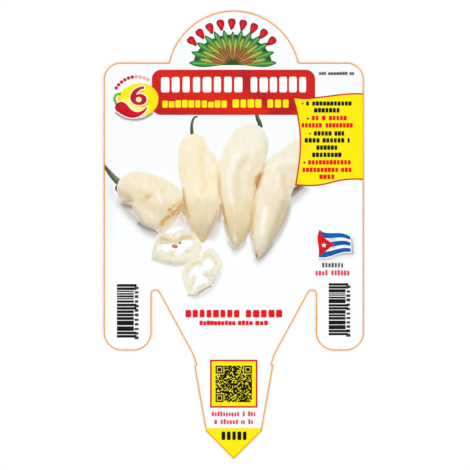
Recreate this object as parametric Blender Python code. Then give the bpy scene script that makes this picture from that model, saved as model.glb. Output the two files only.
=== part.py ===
"""A die-cut plastic plant label: a domed head with two side tabs, and a barbed, pointed stake between them.

The label lies on its back, printed face up. +Z points out of the printed face, +Y points at the domed
top and +X points to the reader's right. The origin is the middle of the back face's bounding box.
Lengths are worked out in millimetres and handed to Blender in metres.
"""

import math

import bpy

MM = 0.001

# Driving dimensions, in millimetres.
WIDTH = 90.0
HEIGHT = 155.2
THICKNESS = 0.5

DOME_RADIUS = 23.0
SHOULDER_BELOW_TOP = 18.0
SHOULDER_CORNER_RADIUS = 5.9

TAB_WIDTH = 16.6
TAB_END_BELOW_TOP = 117.6
TAB_CORNER_RADIUS = 6.3

SLOT_RADIUS = 1.35
SLOT_TOP_BELOW_TOP = 96.8
STAKE_SHOULDER_SLOPE = math.radians(28.6)

NECK_BELOW_TOP = 122.5
NECK_HALF_WIDTH = 13.1
NECK_BEND_LENGTH = 2.2
NECK_SLOPE = math.radians(13.0)
BARB_DEPTH = 0.55
BARB_RISE = 0.3

POINT_HALF_WIDTH = 9.65

ARC_CHORD_ERROR = 0.004

LABEL_WHITE = (0.93, 0.94, 0.95, 1.0)

TOP = HEIGHT / 2
HALF_WIDTH = WIDTH / 2


def arc(centre, radius, start, end):
    """Points along a round stretch from angle start to angle end, in degrees, both ends included."""
    widest_step = 2 * math.acos(1 - ARC_CHORD_ERROR / radius)
    steps = max(2, math.ceil(abs(math.radians(end - start)) / widest_step))
    angles = [math.radians(start + (end - start) * i / steps) for i in range(steps + 1)]
    return [(centre[0] + radius * math.cos(a), centre[1] + radius * math.sin(a)) for a in angles]


def dome():
    """The right half of the domed top, from the highest point down to the straight shoulder."""
    centre_y = TOP - DOME_RADIUS
    foot_angle = math.degrees(math.asin((TOP - SHOULDER_BELOW_TOP - centre_y) / DOME_RADIUS))
    return arc((0.0, centre_y), DOME_RADIUS, 90.0, foot_angle)


def shoulder_corner():
    """The rounded outer corner where the straight shoulder turns down into the side."""
    centre = (HALF_WIDTH - SHOULDER_CORNER_RADIUS, TOP - SHOULDER_BELOW_TOP - SHOULDER_CORNER_RADIUS)
    return arc(centre, SHOULDER_CORNER_RADIUS, 90.0, 0.0)


def tab_end():
    """The round-cornered lower end of the side tab, from its outer edge to its inner edge."""
    centre_y = TOP - TAB_END_BELOW_TOP + TAB_CORNER_RADIUS
    outer = (HALF_WIDTH - TAB_CORNER_RADIUS, centre_y)
    inner = (HALF_WIDTH - TAB_WIDTH + TAB_CORNER_RADIUS, centre_y)
    return arc(outer, TAB_CORNER_RADIUS, 0.0, -90.0) + arc(inner, TAB_CORNER_RADIUS, -90.0, -180.0)


def slot_end():
    """The blind round end of the slot, from the tab's inner edge to the stake's sloping shoulder."""
    centre = (HALF_WIDTH - TAB_WIDTH - SLOT_RADIUS, TOP - SLOT_TOP_BELOW_TOP - SLOT_RADIUS)
    return arc(centre, SLOT_RADIUS, 0.0, 180.0 - math.degrees(STAKE_SHOULDER_SLOPE))


def neck(shoulder_start):
    """The stake's shoulder as it bends into the short neck above the barb."""
    neck_y = TOP - NECK_BELOW_TOP
    rise = math.tan(STAKE_SHOULDER_SLOPE)
    fall = math.tan(NECK_SLOPE)
    start_x, start_y = shoulder_start
    # The two straight lines, the shoulder's and the neck's, meet at this corner.
    corner_y = (start_x - NECK_HALF_WIDTH - rise * start_y + fall * neck_y) / (fall - rise)
    corner = (NECK_HALF_WIDTH + fall * (corner_y - neck_y), corner_y)
    bend_start = (
        corner[0] + NECK_BEND_LENGTH * math.sin(STAKE_SHOULDER_SLOPE),
        corner[1] + NECK_BEND_LENGTH * math.cos(STAKE_SHOULDER_SLOPE),
    )
    bend_end = (
        corner[0] - NECK_BEND_LENGTH * math.sin(NECK_SLOPE),
        corner[1] - NECK_BEND_LENGTH * math.cos(NECK_SLOPE),
    )
    return quadratic(bend_start, corner, bend_end, 6) + [(NECK_HALF_WIDTH, neck_y)]


def quadratic(start, control, end, steps):
    """Points along a quadratic curve, both ends included."""
    points = []
    for i in range(steps + 1):
        t = i / steps
        weights = ((1 - t) ** 2, 2 * t * (1 - t), t * t)
        points.append(tuple(sum(w * p[k] for w, p in zip(weights, (start, control, end))) for k in (0, 1)))
    return points


def barb_and_point():
    """The barb that steps out under the neck, then the tapering blade down to its right-angled point."""
    barb = (NECK_HALF_WIDTH + BARB_DEPTH, TOP - NECK_BELOW_TOP - BARB_RISE)
    blade_end = (POINT_HALF_WIDTH, -TOP + POINT_HALF_WIDTH)
    return [barb, blade_end, (0.0, -TOP)]


def right_half():
    """The outline's right half, from the top of the dome clockwise to the point of the stake."""
    points = dome() + shoulder_corner() + tab_end() + slot_end()
    return points + neck(points[-1]) + barb_and_point()


def outline():
    """The whole closed outline: the right half, then its mirror image back up to the dome."""
    right = right_half()
    left = [(-x, y) for x, y in reversed(right[1:-1])]
    return right + left


def plastic(name, colour):
    material = bpy.data.materials.new(name)
    material.use_nodes = True
    shader = material.node_tree.nodes["Principled BSDF"]
    shader.inputs["Base Color"].default_value = colour
    shader.inputs["Roughness"].default_value = 0.42
    shader.inputs["Metallic"].default_value = 0.0
    return material


def label_sheet(collection):
    """The one piece: a flat sheet with the outline's shape, its back face on the ground plane."""
    curve = bpy.data.curves.new("label_sheet", "CURVE")
    curve.dimensions = "2D"
    curve.fill_mode = "BOTH"
    curve.extrude = THICKNESS / 2 * MM
    points = outline()
    spline = curve.splines.new("POLY")
    spline.points.add(len(points) - 1)
    for target, (x, y) in zip(spline.points, points):
        target.co = (x * MM, y * MM, 0.0, 1.0)
    spline.use_cyclic_u = True
    sheet = bpy.data.objects.new("label_sheet", curve)
    sheet.location.z = THICKNESS / 2 * MM
    sheet.data.materials.append(plastic("white_polypropylene", LABEL_WHITE))
    collection.objects.link(sheet)
    return sheet


def main():
    for old in list(bpy.data.objects):
        bpy.data.objects.remove(old)
    collection = bpy.data.collections.new("plant_label")
    bpy.context.scene.collection.children.link(collection)
    label_sheet(collection)


main()
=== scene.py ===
"""A die-cut plastic plant label: the finish of its sheet and the film of print on its face.

The artwork is laid out in millimetres from the middle of the sheet's face, x to a reader's right and
y towards the domed top. Lengths become metres only where a mesh is made. The artwork's colours are
display colours with parts from 0 to 255.
"""

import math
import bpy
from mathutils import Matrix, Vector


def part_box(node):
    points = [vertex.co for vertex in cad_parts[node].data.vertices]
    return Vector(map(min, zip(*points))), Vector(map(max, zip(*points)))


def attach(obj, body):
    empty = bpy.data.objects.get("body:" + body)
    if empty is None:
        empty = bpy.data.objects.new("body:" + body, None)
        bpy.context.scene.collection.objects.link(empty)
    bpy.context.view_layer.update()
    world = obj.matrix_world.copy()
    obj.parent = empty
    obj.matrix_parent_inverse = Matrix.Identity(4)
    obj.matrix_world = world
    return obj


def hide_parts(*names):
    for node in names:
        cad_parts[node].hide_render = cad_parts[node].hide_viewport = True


bl_info = {
    "name": "Plant label",
    "version": (1, 0, 0),
    "blender": (4, 5, 0),
    "location": "View3D > Sidebar > Plant label",
    "description": "Builds the printed face, the plastic sheet and the studio of a stick-in plant label",
    "category": "Object",
}

import bmesh
import bpy
import numpy as np
from bpy.props import FloatProperty, FloatVectorProperty, IntProperty, PointerProperty
from bpy.types import Operator, Panel, PropertyGroup
from mathutils import Matrix, Vector
from mathutils.geometry import delaunay_2d_cdt

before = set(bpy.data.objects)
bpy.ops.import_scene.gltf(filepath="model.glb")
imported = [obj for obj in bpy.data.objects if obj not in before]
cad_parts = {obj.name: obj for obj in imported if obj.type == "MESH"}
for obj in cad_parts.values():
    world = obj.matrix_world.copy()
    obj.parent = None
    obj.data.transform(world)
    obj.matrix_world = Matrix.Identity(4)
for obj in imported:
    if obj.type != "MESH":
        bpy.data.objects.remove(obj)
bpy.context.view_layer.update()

MM = 0.001
SHEET_NODE = "label_sheet"
SHEET_LOW, SHEET_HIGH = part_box(SHEET_NODE)
MIDDLE = np.array([(SHEET_LOW.x + SHEET_HIGH.x) / 2, (SHEET_LOW.y + SHEET_HIGH.y) / 2])
FACE = SHEET_HIGH.z
HALF_WIDTH = (SHEET_HIGH.x - SHEET_LOW.x) / 2 / MM
EDGE_GAP = 0.12  # how far inside the cut edge a film of ink ends
UPPER_EDGE_GAP = 0.14  # the same for a film that rises above such a film
LINE_GAP = 0.02  # the same for the line along the cut edge, which ends over the eased edge

# Every film of ink stands on the face. This is the order of their tops, lowest first.
LAYERS = (
    "ground",
    "behind",
    "low_picture",
    "picture",
    "front_picture",
    "slice",
    "front_slice",
    "seed",
    "banner",
    "banner_type",
    "card_edge",
    "card",
    "card_type",
    "cut_line",
)


# ------------------------------------------------------------------ settings


def length_setting(name, default, about):
    return FloatProperty(name=name, default=default, description=about, unit="LENGTH", precision=6)


def share_setting(name, default, about):
    return FloatProperty(name=name, default=default, description=about, subtype="FACTOR", min=0, max=1)


def count_setting(name, default, about, least=0):
    return IntProperty(name=name, default=default, description=about, min=least)


def colour_setting(name, default, about):
    return FloatVectorProperty(
        name=name, default=default, description=about, subtype="COLOR_GAMMA", min=0, max=1
    )


class SheetSettings(PropertyGroup):
    eased_edge: length_setting("Eased edge", 0.00006, "How far the die rounds the sheet's upper edge")
    burr: length_setting("Lower edge", 0.00003, "How far the lower edge is rounded")
    plastic: colour_setting("Plastic", (0.968, 0.970, 0.974), "Colour of the bare sheet")


class PrintSettings(PropertyGroup):
    ink_step: length_setting("Ink step", 0.000012, "How much higher each film of ink lies than the last")
    fine_pitch: length_setting("Fine pitch", 0.00026, "Distance between the picture's coloured points")
    plain_pitch: length_setting("Plain pitch", 0.0013, "The same for the ground tint off the picture")
    cut_line: length_setting("Cut line", 0.00038, "Width of the fine line along the cut edge")
    card_edge: length_setting("Card edge", 0.00046, "Width of the red line round the yellow card")
    red: colour_setting("Red", (0.91, 0.07, 0.11), "Red ink of the captions")
    yellow: colour_setting("Yellow", (1.0, 0.935, 0.0), "Yellow ink of the card and the point")
    black: colour_setting("Black", (0.05, 0.05, 0.07), "Black ink of the codes and the card's rows")
    orange: colour_setting("Orange", (0.97, 0.63, 0.04), "Ink of the line along the cut edge")


class TypeSettings(PropertyGroup):
    least_width: share_setting("Least width", 0.72, "Narrowest block, as a share of its place")
    most_width: share_setting("Most width", 0.92, "Widest block, as a share of its place")
    seed: count_setting("Seed", 7, "Picks the blocks' random sizes")


class CodeSettings(PropertyGroup):
    bars: count_setting("Bars", 16, "Bars in a bar code", least=8)
    modules: count_setting("Modules", 33, "Modules along the square code's side", least=21)
    share: share_setting("Dark share", 0.62, "Share of the square code's modules that are dark")
    seed: count_setting("Seed", 11, "Picks the codes' random patterns")


class StageSettings(PropertyGroup):
    lens: FloatProperty(name="Lens", description="Focal length in millimetres", default=120.0, min=20)
    view_side: length_setting("View side", 0.16252, "Side of the square that the camera sees")
    floor: colour_setting("Floor", (0.985, 0.985, 0.985), "Colour of the floor")
    light: FloatProperty(name="Light", description="Power of each soft box", default=6.0, unit="POWER", min=0)


# ------------------------------------------------------------------ lines and loops in the artwork


def through(points, step=0.3, closed=True):
    """A smooth line through given points, with points at most a step apart."""
    points = np.asarray(points, float)
    if closed:
        runs = np.concatenate([points[-1:], points, points[:2]])
    else:
        before, after = 2 * points[0] - points[1], 2 * points[-1] - points[-2]
        runs = np.concatenate([[before], points, [after]])
    line = []
    for i in range(1, len(runs) - 2):
        p0, p1, p2, p3 = runs[i - 1 : i + 3]
        t1 = max(math.dist(p0, p1), 1e-9) ** 0.5
        t2 = t1 + max(math.dist(p1, p2), 1e-9) ** 0.5
        t3 = t2 + max(math.dist(p2, p3), 1e-9) ** 0.5
        count = max(2, math.ceil(math.dist(p1, p2) / step))
        for t in np.linspace(t1, t2, count, endpoint=False):
            a1 = p0 + (p1 - p0) * t / t1
            a2 = p1 + (p2 - p1) * (t - t1) / (t2 - t1)
            a3 = p2 + (p3 - p2) * (t - t2) / (t3 - t2)
            b1 = a1 + (a2 - a1) * t / t2
            b2 = a2 + (a3 - a2) * (t - t1) / (t3 - t1)
            line.append(b1 + (b2 - b1) * (t - t1) / (t2 - t1))
    if not closed:
        line.append(points[-1])
    return np.array(line)


def joined(*lines):
    """One closed loop from open lines that meet end to end, with sharp corners between them."""
    loop = np.concatenate(lines)
    ahead = np.roll(loop, -1, axis=0)
    return loop[np.linalg.norm(ahead - loop, axis=1) > 1e-4]


def divided(loop, step):
    """The loop with more points on its long sides."""
    ahead = np.roll(loop, -1, axis=0)
    parts = []
    for start, end in zip(loop, ahead):
        count = max(1, math.ceil(math.dist(start, end) / step))
        parts.append(start + (end - start) * np.arange(count)[:, None] / count)
    return np.concatenate(parts)


def arc(centre, radius, start, end, step=8):
    """Points on an arc, from one angle to another in degrees."""
    count = max(2, math.ceil(abs(end - start) / step) + 1)
    angles = np.radians(np.linspace(start, end, count))
    return np.column_stack([centre[0] + radius * np.cos(angles), centre[1] + radius * np.sin(angles)])


def disc(centre, radii, count=32):
    angles = np.linspace(0, 2 * math.pi, count, endpoint=False)
    across, up = np.broadcast_to(radii, 2)
    return np.column_stack([centre[0] + across * np.cos(angles), centre[1] + up * np.sin(angles)])


def box_loop(left, bottom, right, top):
    return np.array([(left, bottom), (right, bottom), (right, top), (left, top)], float)


def rounded_box(left, bottom, right, top, radius):
    middles = box_loop(left + radius, bottom + radius, right - radius, top - radius)
    starts = (180, -90, 0, 90)
    corners = [arc(middle, radius, start, start + 90) for middle, start in zip(middles, starts)]
    return np.concatenate(corners[1:] + corners[:1])


def area(loop):
    ahead = np.roll(loop, -1, axis=0)
    return float((loop[:, 0] * ahead[:, 1] - ahead[:, 0] * loop[:, 1]).sum() / 2)


def inside(at, loop):
    """Whether each point lies inside the loop."""
    ahead = np.roll(loop, -1, axis=0)
    found = np.zeros(len(at), bool)
    for (x0, y0), (x1, y1) in zip(loop, ahead):
        if y0 == y1:
            continue
        crosses = (y0 > at[:, 1]) != (y1 > at[:, 1])
        found ^= crosses & (at[:, 0] < (x1 - x0) * (at[:, 1] - y0) / (y1 - y0) + x0)
    return found


def nearest(at, line, closed=False):
    """For each point: its distance to the line, how far along that is, and the way from there to it."""
    start = line if closed else line[:-1]
    end = np.roll(line, -1, axis=0) if closed else line[1:]
    run = end - start
    length2 = np.maximum((run**2).sum(axis=1), 1e-12)
    best, along, way = [], [], []
    for part in np.array_split(at, max(1, len(at) * len(start) // 2_000_000)):
        offset = part[:, None] - start
        share = np.clip((offset * run).sum(axis=2) / length2, 0, 1)
        away = offset - share[..., None] * run
        distance = np.sqrt((away**2).sum(axis=2))
        which = distance.argmin(axis=1)
        rows = np.arange(len(part))
        best.append(distance[rows, which])
        along.append((which + share[rows, which]) / len(start))
        way.append(away[rows, which])
    return np.concatenate(best), np.concatenate(along), np.concatenate(way)


def moved_out(loop, amount):
    """Each point of a counter-clockwise loop moved out by an amount, square to the loop."""
    back, ahead = loop - np.roll(loop, 1, axis=0), np.roll(loop, -1, axis=0) - loop
    back /= np.maximum(np.linalg.norm(back, axis=1, keepdims=True), 1e-12)
    ahead /= np.maximum(np.linalg.norm(ahead, axis=1, keepdims=True), 1e-12)
    out = np.column_stack([back[:, 1] + ahead[:, 1], -back[:, 0] - ahead[:, 0]])
    out /= np.maximum(np.linalg.norm(out, axis=1, keepdims=True), 1e-12)
    square = np.column_stack([back[:, 1], -back[:, 0]])
    reach = 1 / np.maximum((out * square).sum(axis=1), 0.5)
    return loop + out * (amount * reach)[:, None]


def grown(loop, amount):
    """The loop set off by an amount, outwards or inwards, without the points that would fold over."""
    loop = loop if area(loop) > 0 else loop[::-1]
    made = moved_out(loop, amount)
    distance = nearest(made, loop, closed=True)[0]
    return made[distance > abs(amount) * 0.97]


def clipped(loop, point, towards):
    """The part of the loop on the side of a line that goes through a point, square to a direction."""
    side = (loop - point) @ np.asarray(towards, float)
    kept = []
    for i in range(len(loop)):
        j = (i + 1) % len(loop)
        if side[i] >= 0:
            kept.append(loop[i])
        if (side[i] >= 0) != (side[j] >= 0):
            kept.append(loop[i] + (loop[j] - loop[i]) * side[i] / (side[i] - side[j]))
    return np.array(kept)


def ribbon(path, widths):
    """A closed loop round a path, tapering from one half width to the other."""
    line = through(path, closed=False)
    run = np.gradient(line, axis=0)
    run /= np.linalg.norm(run, axis=1, keepdims=True)
    side = np.column_stack([-run[:, 1], run[:, 0]])
    half = np.linspace(widths[0], widths[1], len(line))[:, None]
    loop = np.concatenate([line + side * half, (line - side * half)[::-1]])
    return loop if area(loop) > 0 else loop[::-1]


def sheet_outline():
    """The outline of the CAD sheet's face, counter-clockwise."""
    copy = bmesh.new()
    copy.from_mesh(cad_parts[SHEET_NODE].data)
    bmesh.ops.remove_doubles(copy, verts=copy.verts, dist=1e-6)
    ahead = {}
    for edge in copy.edges:
        tops = [face for face in edge.link_faces if face.normal.z > 0.9]
        if len(tops) == 1:
            loop = next(loop for loop in tops[0].loops if loop.edge == edge)
            ahead[loop.vert] = loop.link_loop_next.vert
    vert = next(iter(ahead))
    points = []
    for _ in range(len(ahead)):
        points.append((vert.co.x, vert.co.y))
        vert = ahead[vert]
    copy.free()
    return (np.array(points) - MIDDLE) / MM


OUTLINE = sheet_outline()


# ------------------------------------------------------------------ nodes


class Value:
    """What a node gives out. The signs of arithmetic on it add further nodes."""

    def __init__(self, socket):
        self.socket = socket

    def maths(self, operation, other=0.0):
        return wire(self.socket.id_data, "ShaderNodeMath", {0: self, 1: other}, operation=operation)

    def __add__(self, other):
        return self.maths("ADD", other)

    def __sub__(self, other):
        return self.maths("SUBTRACT", other)

    def __mul__(self, other):
        return self.maths("MULTIPLY", other)

    def __truediv__(self, other):
        return self.maths("DIVIDE", other)

    def __mod__(self, other):
        return self.maths("MODULO", other)

    def __lt__(self, other):
        return self.maths("LESS_THAN", other)

    def __gt__(self, other):
        return self.maths("GREATER_THAN", other)

    def __abs__(self):
        return self.maths("ABSOLUTE")


def fill(node, sockets):
    """Fills a node's inputs. What other nodes give out is linked, from a list too, and the rest is set."""
    for key, value in sockets.items():
        for one in value if isinstance(value, list) else [value]:
            if isinstance(one, Value):
                node.id_data.links.new(one.socket, node.inputs[key])
            else:
                node.inputs[key].default_value = one


def new_node(tree, kind, sockets, **settings):
    node = tree.nodes.new(kind)
    for name, value in settings.items():
        setattr(node, name, value)
    fill(node, sockets)
    return node


def wire(tree, kind, sockets, output=0, **settings):
    """What one output of a new node gives out."""
    return Value(new_node(tree, kind, sockets, **settings).outputs[output])


def all_outputs(node):
    return {name: Value(node.outputs[name]) for name in node.outputs.keys() if name}


def new_sockets(tree, in_out, kinds):
    for name, kind in kinds.items():
        tree.interface.new_socket(name, in_out=in_out, socket_type=f"NodeSocket{kind}")


# ------------------------------------------------------------------ finishes


WHITE_OF_INK = 0.93  # how much light the whitest print gives back
INKS = {
    "white_ink": (255, 255, 255),
    "grey_ink": (96, 98, 100),
    "digit_grey_ink": (62, 62, 66),
    "title_yellow_ink": (255, 240, 20),
    "card_edge_ink": (205, 28, 42),
    "caption_pink_ink": (232, 62, 92),
    "number_red_ink": (196, 20, 34),
    "scale_pale_ink": (238, 176, 184),
    "stalk_green_ink": (98, 190, 28),
    "leaf_shade_ink": (44, 84, 40),
    "sepal_ink": (104, 84, 70),
}
# The inks whose colour is one of the print settings.
SET_INKS = {
    "cut_line_ink": "orange",
    "card_yellow_ink": "yellow",
    "type_red_ink": "red",
    "black_ink": "black",
}


def linear(colour):
    """Scene-linear values of display colours that run from 0 to 1."""
    colour = np.asarray(colour, float)
    return np.where(colour <= 0.04045, colour / 12.92, ((colour + 0.055) / 1.055) ** 2.4)


def surface_group():
    """The grain that every finish of the label shares: cloudy tone, fine tooth and faint rub marks."""
    group = bpy.data.node_groups.get("printed_surface")
    if group:
        return group
    group = bpy.data.node_groups.new("printed_surface", "ShaderNodeTree")
    new_sockets(group, "INPUT", {"Color": "Color", "Cloud": "Float", "Roughness": "Float"})
    new_sockets(group, "OUTPUT", {"Color": "Color", "Roughness": "Float", "Height": "Float"})
    given = all_outputs(new_node(group, "NodeGroupInput", {}))
    place = wire(group, "ShaderNodeTexCoord", {}, "Object")

    def noise(scale, detail, vector=place):
        sockets = {"Vector": vector, "Scale": scale, "Detail": detail}
        return wire(group, "ShaderNodeTexNoise", sockets)

    cloud = noise(420.0, 4.0) - 0.5
    tooth = noise(5200.0, 2.0) - 0.5
    tone = (cloud + tooth) * given["Cloud"] + 1.0
    grey = wire(group, "ShaderNodeCombineColor", {0: tone, 1: tone, 2: tone})
    # A mix node's sockets 6 and 7 take its two colours, and its output 2 gives out the mixed one.
    sockets = {0: 1.0, 6: given["Color"], 7: grey}
    coloured = wire(group, "ShaderNodeMix", sockets, 2, data_type="RGBA", blend_type="MULTIPLY")
    sockets = {"Vector": place, "Rotation": (0, 0, math.radians(24)), "Scale": (0.08, 1.0, 1.0)}
    streaks = noise(1900.0, 3.0, wire(group, "ShaderNodeMapping", sockets))
    rub = wire(group, "ShaderNodeMapRange", {"Value": streaks, "From Min": 0.60, "From Max": 0.72})
    rough = given["Roughness"] + tooth * 0.10 + cloud * 0.16 + rub * 0.05
    lift = tooth + cloud * 0.6
    new_node(group, "NodeGroupOutput", {"Color": coloured, "Roughness": rough, "Height": lift})
    return group


def finish(name, colour=None, roughness=0.42, cloud=0.02, relief=0.000004, gloss=0.2):
    """A printed or plastic finish. Without a colour it shows the piece's own painted colours."""
    known = bpy.data.materials.get(name)
    if known:
        return known
    made = bpy.data.materials.new(name)
    made.use_nodes = True
    tree = made.node_tree
    if colour is None:
        base = wire(tree, "ShaderNodeAttribute", {}, "Color", attribute_name="ink")
    else:
        base = (*(linear(tuple(colour)) * WHITE_OF_INK), 1)
        made.diffuse_color = base
    sockets = {"Color": base, "Cloud": cloud, "Roughness": roughness}
    surface = all_outputs(new_node(tree, "ShaderNodeGroup", sockets, node_tree=surface_group()))
    sockets = {"Height": surface["Height"], "Distance": relief, "Strength": 1.0}
    bump = wire(tree, "ShaderNodeBump", sockets)
    sockets = {"Base Color": surface["Color"], "Roughness": surface["Roughness"], "Normal": bump}
    fill(tree.nodes["Principled BSDF"], {**sockets, "Specular IOR Level": gloss})
    return made


def ink(name):
    """One of the label's inks. picture_ink shows the piece's own painted colours."""
    if name == "picture_ink":
        return finish(name, roughness=0.40, cloud=0.022)
    if name in SET_INKS:
        return finish(name, getattr(bpy.context.scene.plant_label_print, SET_INKS[name]))
    return finish(name, [part / 255 for part in INKS[name]])


# ------------------------------------------------------------------ films of ink


def height(layer):
    """How high the top of a layer's ink lies above the face, in metres."""
    return (LAYERS.index(layer) + 1) * bpy.context.scene.plant_label_print.ink_step


def lattice(loops, pitch, windows=()):
    """Points a pitch apart, inside the first loop and outside the others.

    Each window (left, bottom, right, top, pitch) has a pitch of its own.
    """
    low, high = loops[0].min(axis=0), loops[0].max(axis=0)

    def grid(left, bottom, right, top, pitch):
        rows = np.arange(bottom + pitch / 2, top, pitch * math.sqrt(0.75))
        columns = np.arange(left + pitch / 4, right, pitch)
        x, y = np.meshgrid(columns, rows)
        x[1::2] += pitch / 2
        return np.column_stack([x.ravel(), y.ravel()])

    def within(at, window):
        left, bottom, right, top = window[:4]
        return (at[:, 0] > left) & (at[:, 0] < right) & (at[:, 1] > bottom) & (at[:, 1] < top)

    at = grid(*low, *high, pitch)
    for window in windows:
        at = at[~within(at, window)]
    at = np.concatenate([at, *(grid(*window) for window in windows)])
    at = at[inside(at, loops[0])]
    for hole in loops[1:]:
        at = at[~inside(at, hole)]
    gaps = np.full(len(at), pitch * 0.4)
    for window in windows:
        gaps[within(at, window)] = window[4] * 0.4
    for loop in loops:
        clear = nearest(at, loop, closed=True)[0] > gaps
        at, gaps = at[clear], gaps[clear]
    return at


def filled(loops, inner=()):
    """Fills the first loop less the others.

    It gives points, counter-clockwise triangles and each point's place in the input.
    """
    at = np.concatenate([*loops, *([inner] if len(inner) else [])])
    edges, first = [], 0
    for loop in loops:
        edges += [(first + i, first + (i + 1) % len(loop)) for i in range(len(loop))]
        first += len(loop)
    made = delaunay_2d_cdt([Vector(p) for p in at], edges, [], 1, 1e-7, True)
    corners = np.array([tuple(point) for point in made[0]])
    faces = np.array(made[2])
    middles = corners[faces].mean(axis=1)
    kept = inside(middles, loops[0])
    for hole in loops[1:]:
        kept &= ~inside(middles, hole)
    faces = faces[kept]
    a, b, c = (corners[faces[:, i]] for i in range(3))
    turned = (b[:, 0] - a[:, 0]) * (c[:, 1] - a[:, 1]) - (b[:, 1] - a[:, 1]) * (c[:, 0] - a[:, 0])
    faces[turned < 0] = faces[turned < 0][:, ::-1]
    return corners, faces, [places[0] for places in made[3]]


def rim_of(faces):
    """The boundary of a set of triangles, as {point: the next point}."""
    sides = {(a, b) for face in faces.tolist() for a, b in zip(face, face[1:] + face[:1])}
    return {a: b for a, b in sides if (b, a) not in sides}


def loops_of(ahead):
    """The closed loops of points in {point: the next point}."""
    left, found = set(ahead), []
    while left:
        start = point = min(left)
        loop = []
        while point in left:
            left.discard(point)
            loop.append(point)
            point = ahead[point]
        found.append(loop)
        if point != start:
            raise ValueError("an outline crosses itself")
    return found


def in_metres(at, level):
    """Points of the artwork as points in the frame, at a height above the face."""
    return np.column_stack([MIDDLE + np.asarray(at) * MM, np.full(len(at), FACE + level)])


def new_object(name, vertices=(), faces=(), material=None, edges=()):
    mesh = bpy.data.meshes.new(name)
    mesh.from_pydata([tuple(vertex) for vertex in vertices], edges, faces)
    if material:
        mesh.materials.append(material)
    made = bpy.data.objects.new(name, mesh)
    bpy.context.scene.collection.objects.link(made)
    return made


def laid(piece):
    """Fastens a finished piece to the label's one body."""
    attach(piece, "root")
    return piece


def loose_film(name, loops, layer, ink_name, inner=(), paint=None):
    """A closed film of ink. paint(points) gives each point's colour, from 0 to 1."""
    corners, faces, _ = filled(loops, inner)
    used = np.unique(faces)
    again = np.full(len(corners), -1)
    again[used] = np.arange(len(used))
    corners, faces = corners[used], again[faces]
    ahead = rim_of(faces)
    rims = sorted(loops_of(ahead), key=lambda loop: -abs(area(corners[loop])))
    under = [point for rim in rims for point in rim]
    _, under_faces, places = filled([corners[rim] for rim in rims])
    below = {point: len(corners) + i for i, point in enumerate(under)}
    vertices = np.concatenate([in_metres(corners, height(layer)), in_metres(corners[under], 0.0)])
    all_faces = faces.tolist()
    all_faces += [[len(corners) + places[i] for i in face[::-1]] for face in under_faces.tolist()]
    all_faces += [[below[a], below[b], b, a] for a, b in ahead.items()]
    made = new_object(name, vertices, all_faces, ink(ink_name))
    if paint:
        at = np.concatenate([corners, corners[under]])
        colours = np.ones((len(at), 4), np.float32)
        colours[:, :3] = linear(np.clip(paint(at), 0, 1)) * WHITE_OF_INK
        painted = made.data.color_attributes.new("ink", "FLOAT_COLOR", "POINT")
        painted.data.foreach_set("color", colours.ravel())
    return made


def film(*described):
    """A closed film of ink, fastened to the label. It is described as to loose_film."""
    return laid(loose_film(*described))


# ------------------------------------------------------------------ painting


class Painting:
    """Soft marks laid over points of the artwork, as with brushes and washes.

    loops holds the painted film's outline and, after it, its holes.
    """

    SOFTNESS = 1.6  # how fast a mark fades towards its reach

    def __init__(self, at, ground, loops):
        self.at, self.loops = at, loops
        self.colours = np.tile(np.asarray(ground, float) / 255, (len(at), 1))

    def lay(self, colour, weight):
        weight = np.clip(weight, 0, 1)[:, None]
        self.colours += (np.asarray(colour, float) / 255 - self.colours) * weight

    def dab(self, colour, centre, size, turn=0.0, strength=1.0):
        """A soft oval spot. size is its half length and half width, turn is in degrees."""
        away = self.at - centre
        c, s = math.cos(math.radians(turn)), math.sin(math.radians(turn))
        length, width = np.broadcast_to(size, 2)
        u = (away[:, 0] * c + away[:, 1] * s) / length
        v = (away[:, 1] * c - away[:, 0] * s) / width
        self.lay(colour, strength * np.exp(-self.SOFTNESS * (u**2 + v**2)))

    def stroke(self, colour, path, reach, strength=1.0):
        """A soft brush stroke along a path. reach is its half width, or the first and the last one."""
        line = through(path, step=0.8, closed=False) if len(path) > 2 else np.asarray(path, float)
        distance, along, _ = nearest(self.at, line)
        first, last = np.broadcast_to(reach, 2)
        share = distance / (first + (last - first) * along)
        self.lay(colour, strength * np.exp(-self.SOFTNESS * share**2))

    def wash(self, colour, start, end, strength=1.0):
        """A colour that comes in evenly from start, where there is none, to end and beyond."""
        start, end = np.asarray(start, float), np.asarray(end, float)
        share = np.clip((self.at - start) @ (end - start) / ((end - start) ** 2).sum(), 0, 1)
        self.lay(colour, strength * share * share * (3 - 2 * share))

    def edge(self, colour, reach, strength=1.0, towards=None, spread=1.0, loop=0):
        """Shade along a loop, and only where it faces a direction in degrees, if one is given."""
        distance, _, away = nearest(self.at, self.loops[loop], closed=True)
        weight = strength * np.exp(-self.SOFTNESS * (distance / reach) ** 2)
        if towards is not None:
            out = -away / np.maximum(distance, 1e-9)[:, None]
            a = math.radians(towards)
            facing = out @ np.array([math.cos(a), math.sin(a)])
            facing[distance < 1e-6] = 0.5
            weight *= np.clip((facing + spread - 1) / spread, 0, 1)
        self.lay(colour, weight)

    def mottle(self, count, size, amount, seed):
        """Many faint lighter and darker spots, taller than wide, up to an amount in display levels."""
        tall, tint = 1.8, np.array([0.6, 0.9, 1.3])
        random = np.random.default_rng(seed)
        low, high = self.at.min(axis=0), self.at.max(axis=0)
        for centre, level in zip(random.uniform(low, high, (count, 2)), random.uniform(-1, 1, count)):
            away = (self.at - centre) / (size, tall * size)
            spot = np.exp(-self.SOFTNESS * (away**2).sum(axis=1))[:, None]
            self.colours += spot * level * amount / 255 * tint


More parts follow.
